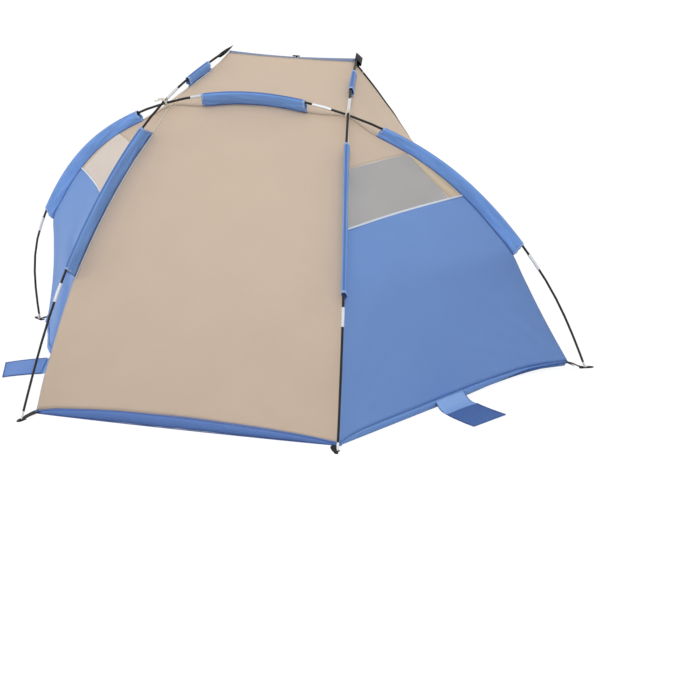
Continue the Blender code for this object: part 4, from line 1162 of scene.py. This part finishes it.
def wing_cloth(side):
    """A front wing with its bound edge and the ring near its eave corner."""
    name = SIDES[side]
    edge = front_edge(side, EAVE_CORNERS[side])
    edge = drawn_to(edge[::-1], FRONT_CORNER_MOVES[side], FRONT_CORNER_FADE)[::-1]
    edge = eased(edge, WING_EDGE_EASE, (-side * WING_EDGE_WAY[0], 0.0, WING_EDGE_WAY[1]))
    down = cut(SIDE_ARCH[side][::-1], 0, WING_KEEP, SIDE_STEPS)
    edge = cut(edge, 0, WING_KEEP, SIDE_STEPS)
    grid = patch(UPPER[side], np.array([down[-1], edge[-1]]), down, edge, SIDE_STEPS, WING_COLUMNS)
    grid = lifted(grid, ripple(grid, "wing", side) * hump(grid_shares(grid)[1]))
    # Painted light: the right wing's inner face gets the brighter glow
    inside = TAN_WING_GLOW if side > 0 else TAN_INSIDE_GLOW
    cloth_panel(f"{name}_wing_cloth", grid, TAN, "tan_polyester", f"{name}_wing_panel", inside)
    rim = grid[:, -1]
    sizes = looked_up(run_shares(rim), WING_BINDING_SIZES)
    bound = int(np.searchsorted(run_shares(rim), WING_BINDING_SHARE))
    for label, part, finish, slot in (
        ("binding", slice(0, bound), BINDING, "webbing_black"),
        ("hem", slice(bound - 1, None), TAN, "tan_polyester"),
    ):
        tube = tube_grid(rim[part], WING_BINDING_RADIUS, THICK_TUBE_SIDES, sizes[part])
        piece(f"{name}_wing_{label}", Builder().add(tube, rim[part][:, None]), finish, slot, thickness=0.0)
    centre = spread(rim, [EAVE_RING_SHARE])[0] + np.array(EAVE_RING_SHIFT) * (side, 1, 1)
    eave_ring = ring(centre, BACK * EAVE_RING_RADIUS, UP * EAVE_RING_RADIUS)
    builder = Builder().tube(eave_ring, EAVE_RING_WIRE, closed=True)
    piece(f"{name}_eave_ring", builder, EYELET, "ferrule_silver", thickness=0.0)


def floor_cloth():
    left, right = [GROUND[side] * FLAT + (-side * FLOOR_INSET, 0.0, FLOOR_LIFT) for side in SIDES]
    near, far = np.array([left[0], right[0]]), np.array([left[-1], right[-1]])
    grid = patch(near, far, left, right, FLOOR_CELLS, FLOOR_CELLS)
    v, u = grid_shares(grid)
    grid[..., 2] += CORNER_LIFT * (v * np.abs(2 * u - 1)) ** CORNER_LIFT_POWER
    grid[..., 2] += (RIPPLES["floor"][0] + ripple(grid, "floor")) * hump(u) * hump(v)
    builder = Builder().add(grid, BELOW)
    item = piece("floor_cloth", builder, BLUE, "blue_polyester", ["floor_sheet"])
    flat_sheet(builder)


def roll_grid(points, ways, bulges, feet):
    """The floor's turned-up edge: a soft roll from the ground up to a run of points."""
    turns = np.linspace(0, 1, ROLL_COLUMNS)
    tops = points[:, 2:]
    lows = np.minimum(feet[:, None] + ROLL_GAP, tops - ROLL_LEAST_HEIGHT)
    swell = bulges[:, None] * hump(turns) ** ROLL_ROUNDING
    grid = (points * FLAT)[:, None] + ways[:, None] * swell[..., None]
    grid[..., 2] = lows + (tops - lows) * (1 - np.cos(math.pi * turns)) / 2
    return grid


def inner_roll(points, ways):
    """The same edge as seen from inside: down to the floor and a little inward."""
    turns = np.linspace(0, 1, INNER_ROLL_COLUMNS)[None, :, None]
    inward = ways[:, None] * ROLL_DEPTH * (turns + ROLL_SLUMP * hump(turns))
    height = ROLL_FOOT + (points[:, None, 2:] - ROLL_FOOT) * (1 - turns) ** 2
    return (points * FLAT)[:, None] - inward + UP * height


def edge_rolls():
    points = rear_rim()
    ways = np.zeros_like(points) + BACK
    shares = np.linspace(0, 1, len(points))
    bulges = ROLL_LEAST_BULGE + REAR_ROLL_BULGE * hump(shares) ** 0.6
    rear = roll_grid(points, ways, bulges, 0 * shares)
    rear = lifted(rear, ripple(rear, "roll"))
    inner = inner_roll(points, ways)
    top = inner[:, :1] + (0.0, -INNER_ROLL_SETBACK, INNER_ROLL_OVERLAP)
    builder = Builder().add(rear).add(np.concatenate((top, inner), axis=1))
    # The rear roll takes the darkened, painted-shade blue
    piece("rear_edge_roll", builder, SHADED_ROLL_BLUE, "blue_polyester")
    # Painted shade: a dark cord along the roll's foot
    line = rear[:, SHADE_LINE_COLUMN] * FLAT + UP * SHADE_LINE_HEIGHT
    piece("rear_edge_piping", Builder().tube(line, SHADE_LINE_RADIUS), SEAM_AND_SHADE_LINE, "blue_polyester", thickness=0.0)
    for side, name in SIDES.items():
        run = GROUND[side]
        ways = unit_rows(np.cross(np.gradient(run, axis=0), UP))
        ways *= np.sign(ways[:, :1] * side)
        shares = run_shares(run)
        full = hump(shares) ** 0.5 if side < 0 else looked_up(shares, RIGHT_ROLL_SHARES)
        roll = roll_grid(run, ways, ROLL_LEAST_BULGE + SIDE_ROLL_BULGE * full, looked_up(shares, EDGE_FOOT))
        builder = Builder().add(roll).add(inner_roll(run, ways))
        piece(f"{name}_edge_roll", builder, EDGE_BLUE, "blue_polyester")


# Sleeves


def sleeve_section(reach):
    """Across a sleeve: x toward the seam, y aside, the share of the way to the seam and the face."""
    half = math.acos(min(SLEEVE_RADIUS / reach, SLEEVE_TIGHTEST))
    touch = SLEEVE_RADIUS * math.cos(half), SLEEVE_RADIUS * math.sin(half)
    shares = np.linspace(0, 1, SLEEVE_COLUMNS)
    section = [(touch[0] + (reach - touch[0]) * s, touch[1] * (1 - s), s, 1) for s in shares[::-1]]
    for turn in np.linspace(half, FULL_TURN - half, SLEEVE_ROUND_COLUMNS)[1:-1]:
        section.append((SLEEVE_RADIUS * math.cos(turn), SLEEVE_RADIUS * math.sin(turn), 0.0, 0))
    return section + [(touch[0] + (reach - touch[0]) * s, -touch[1] * (1 - s), s, -1) for s in shares]


def sleeve_cloth(name, pole, span, slants, node, seed):
    """A flat fabric channel: round the pole at its outer edge, closed at the seam."""
    start, end = span
    count = max(8, int((end - start) / SLEEVE_STEP))
    rows = []
    centres = []
    for t in [k / count for k in range(count + 1)]:
        where = start + (end - start) * t
        centre, way, root = pole.shape(where), pole.tangent(where), pole.root(where)
        lean = slants[0] * (1 - t) ** 3 + slants[1] * t**3
        fin = root - centre
        fin = fin - way * np.dot(fin, way)
        reach = np.linalg.norm(fin)
        fin = unit(fin)
        side = np.cross(way, fin)
        from_end = min(t, 1 - t) * (end - start)
        depth = RIDGE_DEPTH * (RIDGE_LEAST + math.exp(-from_end / RIDGE_FADE))
        row = []
        for x, y, s, face in sleeve_section(reach):
            if face:
                skew = s * RIDGE_SLANT - from_end * RIDGE_COUNT + (RIDGE_START if t < 0.5 else 0.0)
                ridge = noise.noise(Vector((skew, face * RIDGE_FACE + seed, from_end * RIDGE_CHANGE)))
                slow = noise.noise(Vector((where * SLOW_COUNT, face * SLOW_FACE + seed, s * SLOW_ACROSS)))
                wave = depth * (0.5 - abs(ridge) * RIDGE_SHARPNESS) + SLOW_DEPTH * slow
                y += face * (SLEEVE_PUFF * hump(s) + wave * hump(s) ** 0.6)
            row.append(centre + fin * x + side * y + way * lean * max(x, 0.0) / reach)
        rows.append(row)
        centres.append(centre + fin * reach * SLEEVE_MIDDLE)
    grid = np.array(rows)
    centres = np.array(centres)[:, None]
    builder = Builder().add(grid, centres)
    out = unit_rows(grid - centres)
    for ends in (slice(0, 2), slice(count - 1, count + 1)):
        builder.add(grid[ends] + out[ends] * CUT_END_LIFT, centres[ends], 1)
    # Painted shade: a darker blue strip over the rounded edge about the pole
    builder.add(grid[:, SHADED_EDGE_COLUMNS] + out[:, SHADED_EDGE_COLUMNS] * SHADED_EDGE_LIFT, centres, 2)
    piece(name, builder, (SLEEVE, HEM_BLUE, SLEEVE_EDGE_SHADE), "sleeve_blue", [node])


def sleeves():
    for side, name in SIDES.items():
        pole = POLES[side]
        places = rear_places(pole)
        start, end = places["sleeve"]
        cut_back, slant = REAR_SLEEVE_TOPS[side]
        span = start, end - cut_back
        sleeve_cloth(f"{name}_rear_channel", pole, span, (0.0, slant), f"{name}_rear_sleeve", 1.0 + side)
        span = places["eave_sleeve"]
        sleeve_cloth(f"{name}_eave_channel", pole, span, (0.0, 0.0), f"{name}_eave_sleeve", 5.0 + side)
    for name, span, slants, seed in (
        ("left_arch", arch_places(ARCH)["sleeve"], ARCH_SLEEVE_SLANTS, 9.0),
        ("right_arch", mirrored_span(arch_places(ARCH)["sleeve"]), ARCH_SLEEVE_SLANTS, 13.0),
        ("arch_top", arch_places(ARCH)["top_sleeve"], TOP_SLEEVE_SLANTS, 17.0),
    ):
        sleeve_cloth(f"{name}_channel", ARCH, span, slants, f"{name}_sleeve", seed)


def mirrored_span(span):
    return ARCH.length - span[1], ARCH.length - span[0]


def seam_pipings():
    """Seams: thread lines under the sleeves, and tapes where the seam lies bare."""
    span = arch_places(ARCH)["sleeve"]
    top_start, top_end = arch_places(ARCH)["top_sleeve"]
    for side, name in SIDES.items():
        pole = POLES[side]
        spans = rear_places(pole)["sleeve"], rear_places(pole)["eave_sleeve"]
        (_, sleeve_end), (eave_start, eave_end) = spans
        bare = (sleeve_end, eave_start), (eave_end, pole.length - SEAM_END)
        aside = np.array([-side * PALE_SEAM_ASIDE, 0.0, 0.0]) + PALE_SEAM_OUT
        seam_lines(f"{name}_rear_seam", pole, spans, PALE_SEAM, aside, PALE_SEAM_RADIUS)
        seam_lines(f"{name}_bare_seam", pole, bare, CREAM)
        seam_lines(f"{name}_arch_seam", ARCH, [span if side < 0 else mirrored_span(span)], SEAM_AND_SHADE_LINE)
    seam_lines("arch_top_seam", ARCH, [(top_start, top_end)], SEAM_AND_SHADE_LINE)
    bare = (span[1], top_start), (top_end, ARCH.length - span[1])
    seam_lines("arch_bare_seam", ARCH, bare, TAN_SEAM)


def seam_lines(name, pole, spans, finish, aside=0.0, radius=SEAM_RADIUS):
    builder = Builder()
    for start, end in spans:
        wheres = np.linspace(start, end, max(6, int((end - start) / SEAM_STEP)))
        builder.tube([pole.root(where) + aside for where in wheres], radius)
    piece(name, builder, finish, "sleeve_blue", thickness=0.0)


# Webbing, ties, sand pockets and toggle


def eave_pocket(side):
    """Black webbing folded over a pole's tip and sewn to the eave's corner."""
    name = SIDES[side]
    pole = POLES[side]
    tip = pole.shape(pole.length)
    way = pole.tangent(pole.length - 2 * PROBE)
    drop = offset(POCKET_DROP, side)
    down = unit(drop - way * np.dot(drop, way))
    normal = np.cross(way, down)
    rows = []
    for back in np.linspace(-POCKET_DEPTH - POCKET_OVER, POCKET_CAP, POCKET_ROWS):
        width = POCKET_HALF * (1 - POCKET_CLOSE * max(0.0, back / POCKET_CAP) ** POCKET_CLOSE_POWER)
        centre = tip + way * back + down * POCKET_MIDDLE
        rows.append(ring(centre, -down * POCKET_HEIGHT, normal * width, POCKET_COLUMNS))
    builder = Builder().add(np.array(rows), tip + down * POCKET_MIDDLE)
    nodes = [f"{name}_eave_pocket"]
    piece(f"{name}_pocket_webbing", builder, WEBBING, "webbing_black", nodes, thickness=POCKET_THICKNESS)


def strap(name, corner, foot, tail, node, more_seed, sway=0.0):
    """Webbing from a floor's corner over the pole's foot and back under itself, with its tab and eyelet."""
    top = corner[2]
    corner, foot = corner * FLAT, foot * FLAT
    way = unit(foot - corner)
    side = np.array([-way[1], way[0], 0.0])
    length = np.linalg.norm(foot - corner)

    def from_corner(knots):
        return [corner + way * (out + length * far) + UP * (top * high + up) for out, far, high, up in knots]

    knots = from_corner(STRAP_CORNER_KNOTS)
    knots += [foot + way * (out + tail * whole) + UP * up for out, whole, up in STRAP_FOOT_KNOTS]
    for knot, share in zip(knots, STRAP_SWAY):
        knot[0] += share * sway
    grid = ribbon_grid(curve(knots, STRAP_STEPS), side, STRAP_WIDTH, STRAP_COLUMNS)
    middle = grid.mean(axis=1)
    past = np.clip(((middle - foot) @ way + STRAP_END) / (tail + STRAP_END), 0, 1)
    taper = np.interp((middle - corner) @ way / length, (0.0, 1.0), (1.0, STRAP_FOOT_SHARE))
    rounded = np.sqrt(1 - STRAP_END_ROUNDING * past**2) * taper
    grid = middle[:, None] + (grid - middle[:, None]) * rounded[:, None, None]
    grid[..., 2] += ripple(grid, "strap", more_seed)
    grid[..., 2] = np.maximum(grid[..., 2], STRAP_LEAST_HEIGHT)
    builder = Builder().add(grid, grid.mean(axis=(0, 1)) - UP)
    piece(name, builder, WEBBING, "webbing_black", [node], thickness=STRAP_THICKNESS, side=0.0)
    grid = ribbon_grid(from_corner(TAB_KNOTS), side, TAB_WIDTH, TAB_COLUMNS)
    grid[-1] = grid[-1].mean(axis=0) + (grid[-1] - grid[-1].mean(axis=0)) * TAB_TIP_SHARE
    # The tab uses the darkened roll blue
    piece(name.replace("strap", "tab"), Builder().add(grid, corner - UP), SHADED_ROLL_BLUE, "blue_polyester")
    eyelet = ring(foot + UP * EYELET_HEIGHT, way * EYELET_RADIUS, side * EYELET_RADIUS)
    builder = Builder().tube(eyelet, EYELET_WIRE, closed=True)
    finish = FIBREGLASS if "rear" in name else EYELET
    piece(f"{name}_eyelet", builder, finish, "ferrule_silver", thickness=0.0)


def cross_lashing(side):
    """Cord lashed over both poles where they cross, both ways, with its knot's two ends."""
    name = SIDES[side]
    pole = POLES[side]
    arch_place = ARCH_CROSSINGS[side]
    top, low = pole.points[LOWER_STATIONS], ARCH.shape(arch_place)
    rear_way, arch_way = pole.tangent(pole.places[LOWER_STATIONS]), ARCH.tangent(arch_place)
    if np.dot(rear_way, arch_way) > 0:
        arch_way = -arch_way
    up = unit(top - low)
    centre = (top + low) / 2
    angle = math.acos(np.dot(rear_way, arch_way)) / 2
    half_height = np.linalg.norm(top - low) / 2 + POLE_RADIUS + TIE_ROOM
    builder = Builder()
    for across, slant in (
        (unit(rear_way + arch_way), math.sin(angle)),
        (unit(rear_way - arch_way), math.cos(angle)),
    ):
        half_width = POLE_RADIUS / slant + TIE_ROOM
        lay = np.cross(across, up)
        turns = np.linspace(0, FULL_TURN, TIE_STEPS + 1)
        squared = np.maximum(np.abs(np.cos(turns)), np.abs(np.sin(turns)))[:, None] ** TIE_SQUARENESS
        loop = ring(0.0, across * half_width, up * half_height, TIE_STEPS) / squared
        for shift in (-TIE_SHIFT, TIE_SHIFT):
            builder.tube(centre + loop + lay * shift, TIE_RADIUS, closed=True)
    knot = centre + up * (half_height + KNOT_RISE)
    builder.tube([knot - up * KNOT_DEPTH, knot, knot + up * KNOT_TOP], KNOT_RADIUS, THICK_TUBE_SIDES)
    for out, lift in TIE_TAILS[side]:
        way = np.array([side * out, 0.0, lift])
        near, far = (knot + way * share for share in TAIL_SHARES)
        builder.tube(curve([knot, near + up * TAIL_RISE, far, knot + way], TAIL_STEPS), TAIL_RADIUS)
    piece(f"{name}_lashing", builder, TIE, "tie_cream", [f"{name}_cross_tie"], thickness=0.0)


def sand_flap(side):
    """A flap sewn to the side's foot, the bag on it and their bindings."""
    name = SIDES[side]
    body = f"{name}_flap"
    hem = spread(EDGE_RUNS[side], FLAP_SEAM_SHARES[side])
    forward = unit((hem[1] - hem[0]) * FLAT)
    outward = np.cross(forward, UP)
    outward *= np.sign(outward[0] * side)
    hem = hem + outward * FLAP_SETOUT
    end = hem + np.outer(FLAP_OUT[side], outward) - np.outer(FLAP_BACK[side], forward)
    shares = np.linspace(0, 1, FLAP_ROWS)[:, None, None]
    across = np.linspace(0, 1, FLAP_COLUMNS)[None, :, None]
    root = hem[0] * (1 - across) + hem[1] * across
    far = end[0] * (1 - across) + end[1] * across
    grid = root * (1 - shares) + far * shares + forward * FLAP_SWEEP * hump(shares) * side
    fall = np.maximum(0.0, 1 - shares / FLAP_DROP_SHARE) ** FLAP_FALL_POWER
    grid[..., 2:] = (root[..., 2:] - FLAP_LIFT) * fall + FLAP_LIFT
    grid[..., 2] += np.abs(ripple(grid, "flap"))
    builder = Builder().add(grid, BELOW)
    item = piece(f"{name}_sand_flap", builder, FLAP_BLUE, "blue_polyester", [f"{name}_sand_pocket"], body)
    flat_sheet(builder)
    bag = grid[round((FLAP_ROWS - 1) * MOUTH_SHARES[side]) :].copy()
    v, u = grid_shares(bag)
    bag[..., 2] += BAG_LIFT + BAG_PUFF * hump(u) * hump(np.minimum(v + BAG_OPEN_SHARE, 1.0)) ** 0.6
    builder = Builder().add(bag, BELOW)
    # Painted shade: the left bag is darker than the right
    finish = SHADED_POCKET_BLUE if side < 0 else POCKET_PALE
    item = piece(f"{name}_sand_bag", builder, finish, "blue_polyester", body=body)
    flat_sheet(builder)
    builder = Builder()
    for source, edge, lift, slot in (
        (grid, "left", 0.0, 0),
        (grid, "right", 0.0, 0),
        (bag, "left", BAG_BINDING_LIFT, 0),
        (bag, "right", BAG_BINDING_LIFT, 0),
        (bag, "far", BAG_BINDING_LIFT, 0),
        (bag, "near", MOUTH_LIFT, 1),
    ):
        builder.add(edge_band(source, edge, FLAP_BINDING_WIDTH, 0.0) + UP * lift, BELOW, slot)
    piece(f"{name}_flap_binding", builder, (DARK_BLUE, BLUE), "blue_polyester", body=body)


def toggle():
    """A turned bar on a thin loop of tape at the eave."""
    edge = eave_curve(HEM_WIDTH)
    middle = spread(edge, [0.5 + TOGGLE_PLACE / run_length(edge)[-1]])[0]
    low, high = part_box("eave_toggle")
    middle_x = (low[0] + high[0]) / 2 + TOGGLE_SHIFT
    centre = np.array([middle_x, high[1] - TOGGLE_RADIUS, high[2] - TOGGLE_RADIUS + TOGGLE_RISE])
    across = np.array([1.0, 0.0, 0.0])
    half = TOGGLE_LENGTH / 2
    knots = np.linspace(-half, half, TOGGLE_BAR_STEPS)
    points = centre + knots[:, None] * across
    ends = np.minimum(1.0, (half - np.abs(knots)) / TOGGLE_END) ** 0.5
    waist = TOGGLE_WAIST * np.exp(-((knots / TOGGLE_WAIST_HALF) ** 2))
    profile = TOGGLE_END_SIZE + (1 - TOGGLE_END_SIZE) * ends - waist
    builder = Builder().add(tube_grid(points, TOGGLE_BAR_RADIUS, BAR_SIDES, profile), points[:, None])
    piece("toggle_bar", builder, FIBREGLASS, "webbing_black", ["eave_toggle"], "toggle", 0.0)
    radius = TOGGLE_BAR_RADIUS * TOGGLE_TAPE_SHARE
    tape = ring(centre, BACK * radius, UP * radius, TOGGLE_STEPS)
    lead = np.array([centre[0], middle[1], middle[2]]) + TOGGLE_LEAD
    builder = Builder()
    for run in (tape, np.linspace(tape[TOGGLE_STEPS // 2], lead, TOGGLE_LEAD_STEPS)):
        builder.add(ribbon_grid(run, across, TOGGLE_TAPE_WIDTH, TAPE_COLUMNS), centre)
    piece("toggle_loop", builder, BINDING, "webbing_black", body="toggle")


def dress_frame():
    """Better materials on the CAD nodes that stay."""
    for name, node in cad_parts.items():
        finish = next((finish for part, finish in NODE_FINISHES.items() if part in name), None)
        if finish:
            for slot in node.material_slots:
                slot.material = finish.material


# Stage


def linked(name, data, place=(0.0, 0.0, 0.0), way=None):
    """A new object in the scene, which looks one way where one is given."""
    item = bpy.data.objects.new(name, data)
    item.location = place
    if way is not None:
        item.rotation_euler = way.to_track_quat("-Z", "Y").to_euler()
    bpy.context.scene.collection.objects.link(item)
    return item


def seen_directly(tree):
    """One for rays that should meet a white background, and zero for light and for what the net shows."""
    path = tree.nodes.new("ShaderNodeLightPath").outputs
    seen = worked(tree, "MAXIMUM", path["Is Camera Ray"], path["Is Glossy Ray"])
    seen = worked(tree, "MAXIMUM", seen, path["Is Transmission Ray"])
    return worked(tree, "MULTIPLY", seen, worked(tree, "LESS_THAN", path["Transparent Depth"], 0.5))


def through_net(tree):
    """One for camera rays that have passed a hole of the net."""
    path = tree.nodes.new("ShaderNodeLightPath").outputs
    passed = worked(tree, "GREATER_THAN", path["Transparent Depth"], 0.5)
    return worked(tree, "MULTIPLY", passed, path["Is Camera Ray"])


def mixed(tree, factor, first, second):
    return added(tree, "ShaderNodeMixShader", factor, first, second).outputs[0]


def stage():
    """A floor and a world that show as white and still take shadows and give soft light. Seen through the
    net's holes, the floor shows a dark grey painted shade.
    """
    corners = [(x * FLOOR_SIZE, y * FLOOR_SIZE, 0) for x, y in ((-1, -1), (1, -1), (1, 1), (-1, 1))]
    mesh = bpy.data.meshes.new("floor")
    mesh.from_pydata(corners, [], [range(4)])
    linked("floor", mesh, (0.0, 0.0, -STAGE_DROP))
    ground = Finish("studio_floor", [FLOOR_GREY] * 3, 0.9)
    ground.put("Specular IOR Level", 0.0)
    tree = ground.tree
    # Painted shade: camera rays that pass the net's holes meet a dark grey floor
    net_shade = added(tree, "ShaderNodeBsdfDiffuse", Color=(*PAINTED_SHADE_THROUGH_NET, 1.0))
    clear = added(tree, "ShaderNodeEmission", Strength=FLOOR_WHITE)
    shade = added(tree, "ShaderNodeBsdfDiffuse", Color=(*[FLOOR_SHADE] * 3, 1.0))
    white = added(tree, "ShaderNodeAddShader", clear.outputs[0], shade.outputs[0])
    under_net = mixed(tree, through_net(tree), ground.shader.outputs[0], net_shade.outputs[0])
    whole = mixed(tree, seen_directly(tree), under_net, white.outputs[0])
    wire(tree, whole, tree.nodes["Material Output"].inputs["Surface"])
    mesh.materials.append(ground.material)
    world = bpy.data.worlds.new("studio")
    bpy.context.scene.world = world
    world.use_nodes = True
    tree = world.node_tree
    plain = tree.nodes["Background"]
    wire(tree, (*SKY, 1.0), plain.inputs["Color"])
    wire(tree, WORLD_LIGHT, plain.inputs["Strength"])
    bright = added(tree, "ShaderNodeBackground", Color=(1.0, 1.0, 1.0, 1.0), Strength=1.0)
    whole = mixed(tree, seen_directly(tree), plain.outputs[0], bright.outputs[0])
    wire(tree, whole, tree.nodes["World Output"].inputs["Surface"])


def lamp(name, place, target, size, power):
    light = bpy.data.lights.new(name, "AREA")
    light.size = size
    light.energy = power
    linked(name, light, place, Vector(target) - Vector(place))


def camera():
    data = bpy.data.cameras.new("camera")
    data.lens = LENS
    data.sensor_width = SENSOR
    bpy.context.scene.camera = linked("camera", data, CAMERA_PLACE, Vector(CAMERA_WAY))


camera()
stage()
lamp("key", (-1.6, 4.0, 5.4), (0.0, 0.0, 0.4), 5.0, 120)
lamp("side", (3.3, 0.7, 0.45), (0.75, 0.0, 0.2), 1.2, 18.0)
bpy.context.scene.view_settings.view_transform = "Standard"

rear_cloth()
roof_cloth()
for each in SIDES:
    side_cloths(each)
    wing_cloth(each)
floor_cloth()
edge_rolls()
sleeves()
seam_pipings()
for each, label in SIDES.items():
    eave_pocket(each)
    cross_lashing(each)
    sand_flap(each)
    ends = GROUND[each][0], POLES[each].points[0], REAR_STRAP_TAIL
    strap(f"rear_{label}_strap", *ends, f"rear_{label}_corner_strap", 0.0, REAR_SWAY[each])
    ends = GROUND[each][-1], ARCH.points[0 if each < 0 else -1], FRONT_STRAP_TAIL
    strap(f"front_{label}_strap", *ends, f"front_{label}_corner_strap", 2.0)
toggle()
dress_frame()
